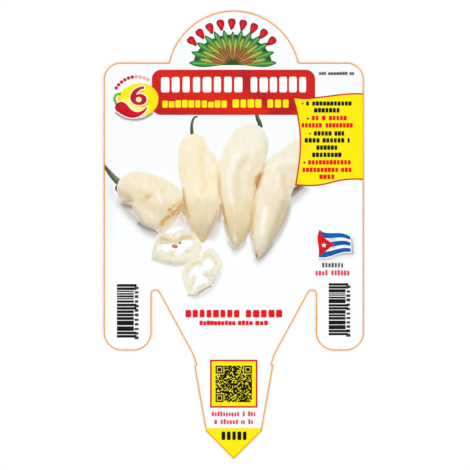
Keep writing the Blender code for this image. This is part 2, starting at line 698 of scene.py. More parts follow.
def painted_film(name, loops, layer, pitch, ground, marks, windows=(), make=film):
    """A film with coloured points a pitch apart: the ground colour with marks(painting) laid on it."""

    def paint(at):
        painting = Painting(at, ground, loops)
        marks(painting)
        return painting.colours

    return make(name, loops, layer, "picture_ink", lattice(loops, pitch, windows), paint)


def fine_pitch():
    return bpy.context.scene.plant_label_print.fine_pitch / MM


# ------------------------------------------------------------------ what repeats, by geometry nodes


def geometry_tree(name, inputs):
    """A geometry node tree with these inputs besides its geometry and material, and what they give."""
    tree = bpy.data.node_groups.new(name, "GeometryNodeTree")
    new_sockets(tree, "INPUT", {"Geometry": "Geometry", **inputs, "Material": "Material"})
    new_sockets(tree, "OUTPUT", {"Geometry": "Geometry"})
    return tree, all_outputs(new_node(tree, "NodeGroupInput", {}))


def vector(tree, x, y, z):
    return wire(tree, "ShaderNodeCombineXYZ", {0: x, 1: y, 2: z})


def moved(tree, geometry, offset):
    return wire(tree, "GeometryNodeSetPosition", {"Geometry": geometry, "Offset": offset})


def points_from(tree, corner, count, offset):
    """So many points, each moved by its own offset from one corner."""
    points = wire(tree, "GeometryNodePoints", {"Count": count, "Position": corner})
    return moved(tree, points, offset)


def end_tree(tree, given, points, shape, size, more=None):
    """Every tree ends with a shape copied to its points, made real and given its finish."""
    sockets = {"Points": points, "Instance": shape, "Scale": size, **(more or {})}
    copies = wire(tree, "GeometryNodeInstanceOnPoints", sockets)
    real = wire(tree, "GeometryNodeRealizeInstances", {"Geometry": copies})
    sockets = {"Geometry": real, "Material": given["Material"]}
    new_node(tree, "NodeGroupOutput", {"Geometry": wire(tree, "GeometryNodeSetMaterial", sockets)})
    return tree


def from_tree(piece, tree, ink_name, values):
    """Runs a tree on a piece, leaves the result as its plain mesh and fastens it to the label."""
    values = {**values, "Material": ink(ink_name)}
    modifier = piece.modifiers.new("made_by_rule", "NODES")
    modifier.node_group = tree
    for item in tree.interface.items_tree:
        if item.in_out == "INPUT" and item.name in values:
            modifier[item.identifier] = values[item.name]
    bpy.context.view_layer.update()
    graph = bpy.context.evaluated_depsgraph_get()
    mesh = bpy.data.meshes.new_from_object(piece.evaluated_get(graph), depsgraph=graph)
    mesh.name = piece.name
    piece.modifiers.remove(modifier)
    base, piece.data = piece.data, mesh
    bpy.data.meshes.remove(base)
    bpy.data.node_groups.remove(tree)
    return laid(piece)


def on_face(point):
    """A point of the artwork as a vector input's value."""
    return tuple(in_metres([point], 0.0)[0])


def rounded_block(tree, corner=0.16):
    """A closed block one unit each way, on the middle of its lower edge, with rounded corners."""
    square = wire(tree, "GeometryNodeCurvePrimitiveQuadrilateral", {"Width": 1.0, "Height": 1.0})
    sockets = {"Curve": square, "Count": 2, "Radius": corner}
    rounded = wire(tree, "GeometryNodeFilletCurve", sockets, mode="POLY")
    flat = wire(tree, "GeometryNodeFillCurve", {"Curve": rounded}, mode="NGONS")
    sole = moved(tree, flat, (0, 0.5, 0))
    sockets = {"Mesh": sole, "Offset": (0, 0, 1), "Offset Scale": 1.0, "Individual": False}
    raised = wire(tree, "GeometryNodeExtrudeMesh", sockets)
    under = wire(tree, "GeometryNodeFlipFaces", {"Mesh": sole})
    both = wire(tree, "GeometryNodeJoinGeometry", {"Geometry": [raised, under]})
    return wire(tree, "GeometryNodeMergeByDistance", {"Geometry": both, "Distance": 1e-5})


def scattered(tree, low, high, seed):
    """A random number for each point, between two values."""
    return wire(tree, "FunctionNodeRandomValue", {2: low, 3: high, "Seed": seed}, 1)


def block_rows_tree():
    """Rows of plain blocks, one where each letter of a word would stand."""
    inputs = {"Least width": "Float", "Most width": "Float", "Least height": "Float"}
    tree, given = geometry_tree("block_rows", {**inputs, "Thickness": "Float", "Seed": "Int"})

    def named(name, kind="FLOAT"):
        return wire(tree, "GeometryNodeInputNamedAttribute", {"Name": name}, data_type=kind)

    lines = wire(tree, "GeometryNodeMeshToCurve", {"Mesh": given["Geometry"]})
    sockets = {"Curve": lines, "Count": named("letters", "INT")}
    stops = wire(tree, "GeometryNodeResampleCurve", sockets)
    width = scattered(tree, given["Least width"], given["Most width"], given["Seed"])
    tall = scattered(tree, given["Least height"], 1.0, given["Seed"] + 1.0)
    size = vector(tree, width * named("cell"), tall * named("tall"), given["Thickness"])
    return end_tree(tree, given, stops, rounded_block(tree), size)


def dots_tree():
    """A flat round dot at each point."""
    tree, given = geometry_tree("dots", {"Radius": "Float", "Thickness": "Float"})
    sockets = {"Vertices": 20, "Radius": 1.0, "Depth": 1.0}
    dot = moved(tree, wire(tree, "GeometryNodeMeshCylinder", sockets), (0, 0, 0.5))
    size = vector(tree, given["Radius"], given["Radius"], given["Thickness"])
    return end_tree(tree, given, given["Geometry"], dot, size)


# How thick a code's bars and gaps are, in units: the random ones from least to most, and the longer ones.
BAR_UNITS, LONG_BAR_UNITS = (3, 14), 8.0
GAP_UNITS, LONG_GAP_UNITS = (2, 3), 2.0


def bars_tree():
    """A stack of bars of random thickness, with two longer ones at each end and in the middle."""
    sizes = {"Code length": "Float", "Bar length": "Float", "Guard": "Float", "Thickness": "Float"}
    others = {"Bars": "Int", "Corner": "Vector", "Seed": "Int"}
    tree, given = geometry_tree("bars", {**sizes, **others})

    def units(is_long, long_units, short_units, seed):
        sockets = {4: short_units[0], 5: short_units[1], "Seed": seed}
        short = wire(tree, "FunctionNodeRandomValue", sockets, 2, data_type="INT")
        return is_long * long_units + (is_long < 0.5) * short

    index = wire(tree, "GeometryNodeInputIndex", {})
    last = given["Bars"] - 1.0
    from_end = index.maths("MINIMUM", last - index)
    from_middle = abs(index - last * 0.5)
    is_long = from_end.maths("MINIMUM", from_middle) < 1.5
    dark = units(is_long, LONG_BAR_UNITS, BAR_UNITS, given["Seed"])
    light = units(is_long, LONG_GAP_UNITS, GAP_UNITS, given["Seed"] + 1.0)
    summed = all_outputs(new_node(tree, "GeometryNodeAccumulateField", {0: dark + light}))
    unit = given["Code length"] / summed["Total"]
    down = (summed["Trailing"] + dark * 0.5) * unit * -1.0
    length = given["Bar length"] + is_long * given["Guard"]
    offset = vector(tree, length * 0.5, down, given["Thickness"] * 0.5)
    points = points_from(tree, given["Corner"], given["Bars"], offset)
    cube = wire(tree, "GeometryNodeMeshCube", {"Size": (1, 1, 1)})
    size = vector(tree, length, dark * unit, given["Thickness"])
    return end_tree(tree, given, points, cube, size)


FINDER = 7  # modules along the side of a corner mark, in any square code


def modules_tree():
    """A square of random modules with a corner mark in three corners. It encodes nothing."""
    sizes = {"Side": "Float", "Dark share": "Float", "Ink spread": "Float", "Thickness": "Float"}
    others = {"Modules": "Int", "Corner": "Vector", "Seed": "Int"}
    tree, given = geometry_tree("modules", {**sizes, **others})
    index = wire(tree, "GeometryNodeInputIndex", {})
    column = index % given["Modules"]
    row = (index / given["Modules"]).maths("FLOOR")
    near = (FINDER - 1) / 2
    far = given["Modules"] - 1.0 - near

    def ring_from(centre_column, centre_row):
        """How many square rings each module lies away from the middle of a corner mark."""
        return abs(column - centre_column).maths("MAXIMUM", abs(row - centre_row))

    ring = ring_from(near, near).maths("MINIMUM", ring_from(near, far))
    ring = ring.maths("MINIMUM", ring_from(far, far))
    # Beyond a mark and the blank line round it the modules are random. A mark is a core in a frame.
    dark = scattered(tree, 0.0, 1.0, given["Seed"]) < given["Dark share"]
    shown = (ring > near + 1.5) * dark + ((ring < 1.5) + ring.maths("COMPARE", near))
    pitch = given["Side"] / given["Modules"]
    offset = vector(tree, (column + 0.5) * pitch, (row + 0.5) * pitch, given["Thickness"] * 0.5)
    points = points_from(tree, given["Corner"], given["Modules"] * given["Modules"], offset)
    sockets = {"Geometry": points, "Selection": shown < 0.5}
    kept = wire(tree, "GeometryNodeDeleteGeometry", sockets)
    cube = wire(tree, "GeometryNodeMeshCube", {"Size": (1, 1, 1)})
    wide = pitch * given["Ink spread"]
    return end_tree(tree, given, kept, cube, vector(tree, wide, wide, given["Thickness"]))


def fan_tree():
    """Copies of one object on an arc, each turned to point away from the arc's centre."""
    sizes = {"Radius": "Float", "Start": "Float", "Sweep": "Float", "Side size": "Float"}
    others = {"Object": "Object", "Count": "Int", "Centre": "Vector"}
    tree, given = geometry_tree("fan", {**sizes, **others})
    index = wire(tree, "GeometryNodeInputIndex", {})
    angle = given["Start"] + index / (given["Count"] - 1.0) * given["Sweep"]
    x, y = angle.maths("COSINE") * given["Radius"], angle.maths("SINE") * given["Radius"]
    points = points_from(tree, given["Centre"], given["Count"], vector(tree, x, y, 0.0))
    turn = vector(tree, 0.0, 0.0, angle - math.pi / 2)
    rotation = wire(tree, "FunctionNodeEulerToRotation", {0: turn})
    scale = abs(angle.maths("COSINE")) * (given["Side size"] - 1.0) + 1.0
    source = wire(tree, "GeometryNodeObjectInfo", {"Object": given["Object"]}, "Geometry")
    size = vector(tree, scale, scale, 1.0)
    return end_tree(tree, given, points, source, size, {"Rotation": rotation})


def block_words(name, rows, layer, ink_name, letter, least_height=1.0, seed=0, weight=1.0):
    """Rows of blocks, each row as (bottom, top, [(left, right) of each word]).

    letter is about how wide a letter and its gap are, and weight narrows the blocks.
    """
    settings = bpy.context.scene.plant_label_type
    points, letters, cells, talls = [], [], [], []
    for bottom, top, words in rows:
        for left, right in words:
            count = max(1, round((right - left) / letter))
            cell = (right - left) / count
            first = left + cell / 2
            last = max(right - cell / 2 if count > 1 else first, first + 1e-3)
            points += [(first, bottom), (last, bottom)]
            letters += [count] * 2
            cells += [cell * MM] * 2
            talls += [(top - bottom) * MM] * 2
    edges = [(i, i + 1) for i in range(0, len(points), 2)]
    piece = new_object(name, in_metres(points, 0.0), edges=edges)
    fields = (("letters", "INT", letters), ("cell", "FLOAT", cells), ("tall", "FLOAT", talls))
    for field, kind, values in fields:
        piece.data.attributes.new(field, kind, "POINT").data.foreach_set("value", values)
    values = {
        "Least width": settings.least_width * weight,
        "Most width": settings.most_width * weight,
        "Least height": least_height,
        "Thickness": height(layer),
        "Seed": settings.seed + seed,
    }
    return from_tree(piece, block_rows_tree(), ink_name, values)


def dots(name, places, radius, layer, ink_name):
    piece = new_object(name, in_metres(places, 0.0))
    values = {"Radius": radius * MM, "Thickness": height(layer)}
    return from_tree(piece, dots_tree(), ink_name, values)


# ------------------------------------------------------------------ the sheet


class LABEL_OT_sheet(Operator):
    """Makes the die-cut plastic sheet with its eased edges"""

    bl_idname = "plant_label.sheet"
    bl_label = "Plastic sheet"

    def execute(self, context):
        settings = context.scene.plant_label_sheet
        thick = SHEET_HIGH.z - SHEET_LOW.z
        eased, burr = settings.eased_edge, settings.burr
        quarter = np.radians(np.linspace(0, 90, 4))
        lower = [(burr * (1 - math.sin(a)), burr * (1 - math.cos(a))) for a in quarter]
        upper = [(eased * (1 - math.cos(a)), thick - eased * (1 - math.sin(a))) for a in quarter]
        rings = [in_metres(moved_out(OUTLINE, -inset / MM), z - thick) for inset, z in lower + upper]
        count = len(OUTLINE)
        faces = []
        for a in range(0, (len(rings) - 1) * count, count):
            b = a + count
            for i in range(count):
                j = (i + 1) % count
                faces.append([a + i, a + j, b + j, b + i])
        _, top, places = filled([moved_out(OUTLINE, -eased / MM)])
        offset = (len(rings) - 1) * count
        faces += [[offset + places[i] for i in face] for face in top.tolist()]
        _, under, places = filled([moved_out(OUTLINE, -burr / MM)])
        faces += [[places[i] for i in face[::-1]] for face in under.tolist()]
        grain = {"roughness": 0.46, "cloud": 0.012, "relief": 0.000006, "gloss": 0.35}
        plastic = finish("white_polypropylene", settings.plastic, **grain)
        sheet = new_object("plastic_sheet", np.concatenate(rings), faces, plastic)
        laid(sheet)
        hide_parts(SHEET_NODE)
        return {"FINISHED"}


# ------------------------------------------------------------------ ground tint and printed shadows


GROUND, TINT = (253, 254, 255), (249, 251, 253)
SHADED_PITCH = 1.35  # in fine pitches
# Where soft shadows need close points: left, bottom, right, top.
SHADED = ((-44.0, -23.0, 27.0, 24.0), (-43.0, 38.0, -24.0, 54.0), (28.0, -10.0, 43.0, 3.0))


def ground_marks(p):
    p.wash(TINT, (0, 4), (0, 44), 0.9)
    p.stroke((243, 247, 253), [(-43.5, 22), (-43.0, 14), (-42.5, 6), (-42.5, 0)], (3.0, 2.0), 0.7)
    # Under the cut chilli.
    p.stroke((232, 231, 236), [(-42.4, 16.6), (-41.6, 13.6), (-39.8, 11.2)], (1.6, 1.8), 0.7)
    path = [(-38.6, 10.8), (-36.2, 7.8), (-33.6, 5.2), (-31.0, 2.2), (-27.6, 0.2)]
    p.stroke((204, 202, 199), path, (2.1, 1.9), 0.95)
    p.stroke((146, 138, 120), [(-38.0, 10.5), (-36.6, 10.1), (-35.2, 9.7)], (1.0, 1.2), 0.95)
    p.stroke((152, 142, 128), [(-32.6, 4.0), (-30.4, 2.5), (-28.2, 1.9), (-26.6, 1.3)], (0.9, 1.1), 0.95)
    # Between the cut chilli and the upright one.
    p.stroke((219, 208, 201), [(-18.0, 7.6), (-17.8, 5.0), (-16.4, 3.2)], (1.7, 1.1), 0.95)
    p.stroke((190, 166, 132), [(-18.3, 9.0), (-17.4, 7.9), (-16.9, 7.2)], (0.7, 0.6), 0.95)
    p.stroke((208, 174, 116), [(-17.9, 12.0), (-17.7, 10.2), (-17.4, 9.0)], 0.7, 1.0)
    p.stroke((204, 186, 162), [(-16.6, 6.6), (-16.1, 5.2), (-15.3, 3.2), (-14.5, 1.6)], 0.5, 0.9)
    p.stroke((236, 231, 226), [(-22.0, 3.0), (-19.2, 4.0), (-17.4, 3.4)], 1.3, 0.85)
    # Between the upright chilli and the tall one.
    p.stroke((226, 217, 211), [(-4.4, 7.0), (-5.0, 4.0), (-5.8, 1.6), (-7.6, -0.8)], (1.3, 1.5), 0.95)
    p.stroke((196, 168, 134), [(-4.6, 10.2), (-4.7, 7.2), (-5.4, 5.4)], (0.8, 0.9), 0.95)
    p.stroke((203, 186, 172), [(-5.6, 5.6), (-6.7, 3.2), (-8.0, 0.8), (-9.3, -1.2)], (1.0, 0.9), 0.8)
    p.stroke((205, 190, 180), [(-3.5, 5.0), (-2.8, 1.8), (-1.7, -1.2)], (0.7, 0.6), 0.85)
    # Under the tall chilli's tip, and between it and the leaning one.
    p.stroke((205, 200, 194), [(-1.6, -2.6), (0.2, -5.0), (2.0, -4.6), (3.6, -2.8)], (1.0, 1.1), 0.9)
    p.dab((192, 184, 176), (0.6, -4.7), (1.5, 0.9), 0, 0.9)
    p.dab((222, 221, 218), (0.6, -6.2), (1.6, 1.2), 0, 0.7)
    p.stroke((216, 208, 202), [(5.8, 0.4), (6.3, -2.2), (6.6, -4.8), (7.0, -6.6)], (0.8, 0.6), 0.8)
    p.stroke((196, 176, 150), [(5.1, 1.4), (4.4, 0.0), (3.6, -2.0)], (0.8, 0.6), 0.95)
    p.stroke((208, 192, 170), [(6.1, 1.4), (6.2, -0.4), (6.4, -1.8)], 0.5, 0.85)
    p.stroke((196, 160, 112), [(6.2, 6.4), (5.8, 3.4), (5.2, 1.4)], (0.8, 0.7), 1.0)
    p.stroke((212, 180, 146), [(8.0, 16.0), (7.4, 12.6)], 0.8, 0.95)
    p.stroke((232, 204, 160), [(11.2, 24.4), (9.8, 22.2)], 1.4, 1.0)
    p.stroke((190, 136, 76), [(9.3, 20.6), (8.5, 19.0), (8.0, 16.4)], (1.5, 1.5), 1.0)
    # Along the leaning chilli and where it lies behind the card.
    path = [(19.8, 10.6), (18.6, 6.2), (16.0, 0.8), (13.4, -3.0), (11.0, -6.2), (8.6, -8.4)]
    p.stroke((200, 196, 190), path, (0.6, 1.9), 0.9)
    p.stroke((168, 160, 150), [(13.2, -3.2), (11.0, -6.2), (9.4, -7.8), (8.2, -8.0)], (0.6, 0.8), 0.9)
    p.stroke((214, 212, 211), [(20.2, 11.6), (22.2, 13.2), (25.0, 15.8)], (1.8, 1.5), 0.95)
    p.stroke((146, 138, 132), [(20.0, 13.9), (21.4, 15.0), (23.6, 16.6)], (1.3, 1.1), 1.0)
    p.stroke((104, 84, 58), [(20.4, 15.9), (21.6, 16.1), (22.6, 17.0)], (0.95, 0.8), 1.0)
    # Under the slices.
    path = [(-28.2, -8.5), (-25.6, -9.5), (-22.8, -10.2), (-19.8, -10.7), (-17.0, -10.2)]
    p.stroke((212, 207, 200), path, 0.45, 0.9)
    path = [(-4.8, -13.4), (-6.2, -16.4), (-7.6, -18.4), (-10.4, -20.6), (-13.6, -21.8)]
    p.stroke((226, 227, 226), path, 0.9, 0.9)
    p.stroke((190, 190, 182), [(-12.6, -20.7), (-14.4, -21.0), (-15.6, -20.8)], 0.6, 0.9)
    p.stroke((164, 156, 140), [(-8.0, -17.7), (-9.4, -18.3), (-11.0, -19.5), (-12.2, -20.1)], 0.5, 0.95)
    # Under the heat badge.
    path = [(-40.6, 42.2), (-38.2, 40.6), (-34.6, 39.85), (-31.0, 40.4), (-28.4, 42.0)]
    p.stroke((150, 132, 132), path, 0.55, 0.95)
    p.stroke((176, 150, 172), [(-29.4, 41.5), (-27.8, 43.0), (-26.8, 44.6)], 0.75, 0.9)
    # Under the flag.
    path = [(29.8, -8.4), (32.6, -8.3), (35.4, -7.3), (38.0, -6.6), (41.1, -6.5)]
    p.stroke((158, 152, 148), path, 0.5, 0.9)
    p.stroke((138, 136, 136), [(41.05, -6.3), (40.95, -3.8), (40.6, -1.4)], (0.55, 0.5), 0.9)
    p.stroke((236, 236, 237), [(30.0, -8.8), (35.6, -7.8), (41.6, -6.8), (41.6, -2.0)], 1.1, 0.6)


class LABEL_OT_ground(Operator):
    """Prints the ground tint and the soft printed shadows, and the fine line along the cut edge"""

    bl_idname = "plant_label.ground"
    bl_label = "Ground tint and cut line"

    def execute(self, context):
        settings = context.scene.plant_label_print
        ground = grown(OUTLINE, -EDGE_GAP)
        windows = [(*window, fine_pitch() * SHADED_PITCH) for window in SHADED]
        plain = settings.plain_pitch / MM
        painted_film("ground_tint", [ground], "ground", plain, GROUND, ground_marks, windows)
        line = [moved_out(OUTLINE, -LINE_GAP), grown(OUTLINE, -LINE_GAP - settings.cut_line / MM)]
        film("cut_line", line, "cut_line", "cut_line_ink")
        return {"FINISHED"}


# ------------------------------------------------------------------ the chillies of the picture


MOTTLE = (260, 0.75, 4.5)  # spots on each chilli, their size, their strength

UPRIGHT = [
    (-14.4, 34.8), (-13.2, 35.0), (-12.0, 34.7), (-10.4, 33.5), (-9.5, 31.5), (-8.6, 29.8),
    (-7.3, 28.6), (-6.3, 27.3), (-5.7, 25.7), (-5.55, 21.9), (-5.3, 17.9), (-4.95, 13.9),
    (-4.95, 10.5), (-5.5, 7.5), (-6.4, 4.3), (-7.5, 1.9), (-8.7, 0.0), (-9.6, -1.8),
    (-10.4, -2.7), (-11.3, -2.6), (-12.3, -1.7), (-13.6, 0.1), (-14.9, 2.3), (-16.1, 5.9),
    (-17.1, 8.5), (-17.6, 11.3), (-17.8, 14.3), (-18.5, 18.3), (-19.1, 22.9),
    (-19.15, 27.9), (-18.7, 30.9), (-17.6, 33.2), (-16.0, 34.4),
]  # fmt: skip

TALL = [
    (4.2, 38.4), (5.8, 38.6), (7.6, 38.3), (9.6, 37.0), (11.0, 35.0), (11.9, 32.6),
    (12.0, 30.0), (11.5, 27.2), (10.5, 24.3), (9.5, 22.0), (8.2, 20.2), (7.6, 18.6),
    (7.7, 16.0), (7.0, 12.0), (6.4, 8.0), (5.9, 4.0), (5.3, 1.6), (4.3, -0.4), (3.1, -2.4),
    (2.0, -3.9), (0.9, -4.5), (0.0, -4.0), (-0.9, -2.6), (-1.9, 0.0), (-2.8, 2.6),
    (-3.4, 5.6), (-4.3, 9.4), (-4.9, 14.0), (-5.4, 20.0), (-5.4, 24.0), (-4.8, 26.8),
    (-3.6, 29.8), (-2.0, 33.0), (-0.4, 35.4), (1.6, 37.3),
]  # fmt: skip

LEANING = [
    (7.8, -7.6), (7.2, -6.4), (6.9, -4.0), (6.6, -1.8), (6.2, 0.6), (6.1, 3.4), (6.5, 8.0),
    (7.1, 12.0), (8.1, 16.0), (9.0, 18.8), (10.0, 21.4), (11.2, 24.2), (12.2, 26.2),
    (14.2, 28.2), (16.6, 29.4), (18.8, 31.2), (20.8, 32.5), (23.4, 33.0), (23.6, 24.0),
    (22.2, 18.4), (20.9, 16.4), (20.1, 14.6), (19.7, 12.0), (19.2, 8.8), (18.0, 5.4),
    (16.2, 1.8), (14.2, -1.4), (12.2, -4.4), (10.4, -6.3), (9.2, -7.4), (8.4, -7.8),
]  # fmt: skip

HALVED = [
    (-40.0, 18.0), (-39.0, 19.7), (-37.0, 21.1), (-34.4, 22.0), (-31.6, 21.9), (-28.2, 21.1),
    (-24.0, 19.4), (-20.6, 17.5), (-18.6, 15.6), (-17.6, 13.8), (-17.4, 11.8), (-17.9, 9.6),
    (-18.2, 7.6), (-19.4, 5.6), (-21.0, 3.6), (-23.0, 1.6), (-24.4, 0.5), (-25.8, 0.7),
    (-27.4, 1.8), (-29.2, 2.7), (-31.4, 3.8), (-33.1, 5.8), (-34.4, 7.8), (-35.3, 10.0),
    (-36.0, 11.1), (-37.4, 10.8), (-38.6, 11.1), (-39.7, 12.7), (-40.3, 14.8), (-40.4, 16.6),
]  # fmt: skip


def upright_marks(p):
    p.wash((234, 218, 182), (-11, 15.4), (-11, 8.9), 0.9)
    p.wash((210, 193, 153), (-12, 8.4), (-10, -0.1), 0.95)
    p.wash((210, 190, 148), (-12, 1.9), (-10.6, -2.7), 0.7)
    p.stroke((243, 230, 198), [(-17.8, 27.0), (-17.4, 21.0), (-16.6, 15.0)], 1.6, 0.5)
    p.stroke((248, 231, 187), [(-11.2, 29.9), (-11.0, 21.9), (-11.0, 14.9)], (1.9, 1.4), 0.9)
    path = [(-14.0, 30.9), (-14.4, 25.9), (-14.0, 18.9), (-12.9, 13.9)]
    p.stroke((249, 240, 210), path, (1.5, 1.1), 0.35)
    p.stroke((254, 246, 224), [(-9.4, 26.9), (-8.3, 24.3), (-7.2, 22.3)], (1.0, 0.9), 0.85)
    p.dab((254, 241, 224), (-8.9, 22.1), (1.0, 0.7), 20, 0.85)
    p.dab((246, 228, 182), (-9.4, 18.5), (1.0, 2.2), 0, 0.6)
    p.dab((243, 224, 184), (-7.0, 19.3), (0.8, 1.6), 0, 0.5)
    p.dab((253, 244, 216), (-8.6, 14.5), (0.9, 1.2), 0, 0.7)
    p.stroke((251, 245, 221), [(-12.6, 16.9), (-12.3, 13.9)], 0.7, 0.8)
    p.stroke((242, 230, 198), [(-7.8, 12.9), (-8.0, 8.9)], 0.9, 0.6)
    p.dab((238, 226, 198), (-11.2, 8.1), (1.0, 0.9), 0, 0.8)
    p.dab((232, 219, 188), (-9.0, 6.1), (0.9, 0.8), 0, 0.5)
    p.edge((252, 250, 238), 0.9, 0.6, towards=150, spread=1.1)
    p.edge((240, 222, 198), 0.8, 0.6, towards=180, spread=0.5)
    p.stroke((222, 188, 134), [(-17.6, 15.5), (-17.1, 11.9), (-16.6, 8.9)], (0.8, 1.4), 0.9)
    p.stroke((202, 162, 100), [(-17.6, 12.9), (-17.1, 10.3), (-16.6, 8.1), (-15.8, 6.3)], (0.8, 0.9), 0.95)
    p.stroke((218, 192, 148), [(-16.0, 6.7), (-14.9, 3.5), (-13.4, 0.5), (-12.0, -1.7)], (1.1, 1.1), 0.85)
    p.stroke((217, 196, 130), [(-12.4, 0.3), (-11.6, -1.3)], 0.6, 0.5)
    p.stroke((198, 178, 146), [(-5.2, 8.1), (-6.6, 4.7), (-8.2, 1.5), (-9.4, -1.1)], (1.0, 1.1), 0.8)
    p.stroke((246, 218, 168), [(-5.5, 25.7), (-5.4, 19.9), (-5.0, 13.9)], (0.5, 0.8), 0.85)
    p.stroke((220, 184, 126), [(-5.35, 21.3), (-5.25, 16.9), (-4.95, 12.5)], 0.38, 0.8)
    p.stroke((234, 212, 164), [(-5.0, 13.3), (-5.2, 9.5)], (0.7, 0.9), 0.8)


def tall_marks(p):
    p.wash((240, 227, 192), (2, 30), (3, 12), 0.8)
    p.wash((231, 213, 169), (2, 14), (2.6, 4), 0.85)
    p.wash((208, 194, 152), (2, 7), (1.4, -3), 0.9)
    p.stroke((245, 236, 207), [(-3.8, 25.0), (-2.4, 29.0), (0.2, 33.0)], (1.7, 2.0), 0.6)
    p.stroke((236, 220, 186), [(8.8, 28.0), (7.0, 24.0), (6.0, 20.0), (5.6, 16.0)], (1.9, 1.6), 0.6)
    p.stroke((238, 228, 206), [(11.4, 35), (11.2, 29), (10.0, 24.6)], (2.6, 2.2), 0.8)
    p.stroke((228, 216, 194), [(12.0, 32), (11.6, 27.6), (10.4, 23.6)], (1.0, 1.0), 0.7)
    # The folds down the middle, light and dark.
    path = [(3.4, 30.4), (1.4, 28.6), (0.2, 25.6), (-1.3, 21.6), (-1.4, 16.6), (-0.6, 11.4)]
    p.stroke((253, 246, 235), path, (1.2, 1.1), 0.9)
    path = [(4.6, 27.0), (2.6, 24.6), (1.2, 21.0), (1.2, 16.0), (2.0, 10.0)]
    p.stroke((237, 222, 188), path, (1.5, 1.5), 0.85)
    p.stroke((240, 228, 202), [(4.8, 27.2), (5.2, 25.2)], 1.2, 0.6)
    p.stroke((252, 245, 228), [(6.6, 29.2), (6.0, 26.6)], 0.6, 0.6)
    p.dab((253, 246, 228), (4.9, 23.0), (1.0, 0.7), 25, 0.9)
    p.dab((250, 241, 222), (3.2, 21.2), (1.0, 0.8), 0, 0.7)
    p.dab((238, 214, 190), (3.6, 25.2), (1.3, 0.6), 25, 0.8)
    p.dab((235, 219, 186), (2.6, 23.6), (1.0, 0.8), 25, 0.6)
    p.dab((248, 238, 216), (4.4, 15.8), (1.0, 1.5), 0, 0.8)
    p.dab((246, 232, 200), (3.2, 17.6), (0.8, 0.8), 0, 0.5)
    p.stroke((248, 240, 216), [(-0.4, 12.4), (0.2, 8.4)], 0.6, 0.8)
    p.stroke((234, 224, 194), [(0.6, 3.4), (0.2, -1.6)], 0.8, 0.8)
    p.dab((244, 242, 226), (0.7, -1.6), (0.45, 1.4), 0, 0.8)
    p.dab((204, 196, 130), (0.8, -4.0), (0.9, 0.5), 0, 0.7)
    p.dab((233, 208, 154), (4.8, 9.0), (1.5, 5.0), 0, 0.65)
    p.dab((238, 227, 200), (8.8, 26.4), (1.4, 2.4), 0, 0.5)
    p.edge((252, 250, 240), 1.2, 0.5, towards=130, spread=0.8)
    p.stroke((224, 184, 124), [(-5.2, 22.0), (-4.8, 14.6), (-4.1, 9.4)], (0.5, 0.95), 0.9)
    p.stroke((212, 172, 104), [(-5.0, 14.0), (-4.7, 11.6), (-4.4, 9.6)], (0.6, 0.8), 0.8)
    p.stroke((187, 149, 88), [(-4.2, 9.8), (-3.5, 6.6), (-2.8, 3.2)], (0.9, 1.0), 0.9)
    p.stroke((200, 184, 150), [(-2.7, 3.4), (-1.8, 0.2), (-0.4, -3.2)], (0.8, 0.8), 0.85)
    p.stroke((225, 184, 124), [(8.0, 19.4), (7.6, 16.6), (7.0, 12.0), (6.4, 7.6)], (0.8, 0.7), 0.85)
    p.stroke((208, 168, 112), [(6.4, 8.0), (5.9, 4.0), (5.2, 1.6)], (0.6, 0.9), 0.9)
    p.stroke((194, 140, 72), [(8.9, 21.0), (8.2, 20.0), (7.7, 17.8)], (0.7, 0.8), 0.85)
    p.stroke((226, 196, 150), [(10.6, 24.2), (9.6, 22.2), (8.9, 21.0)], 0.7, 0.7)
    p.stroke((244, 226, 176), [(-5.3, 27.0), (-5.4, 24.0), (-5.3, 20.0)], 0.6, 0.85)
    p.stroke((200, 180, 138), [(5.0, 1.4), (3.8, -0.8), (2.2, -3.2), (1.0, -4.4)], (0.9, 0.9), 0.9)


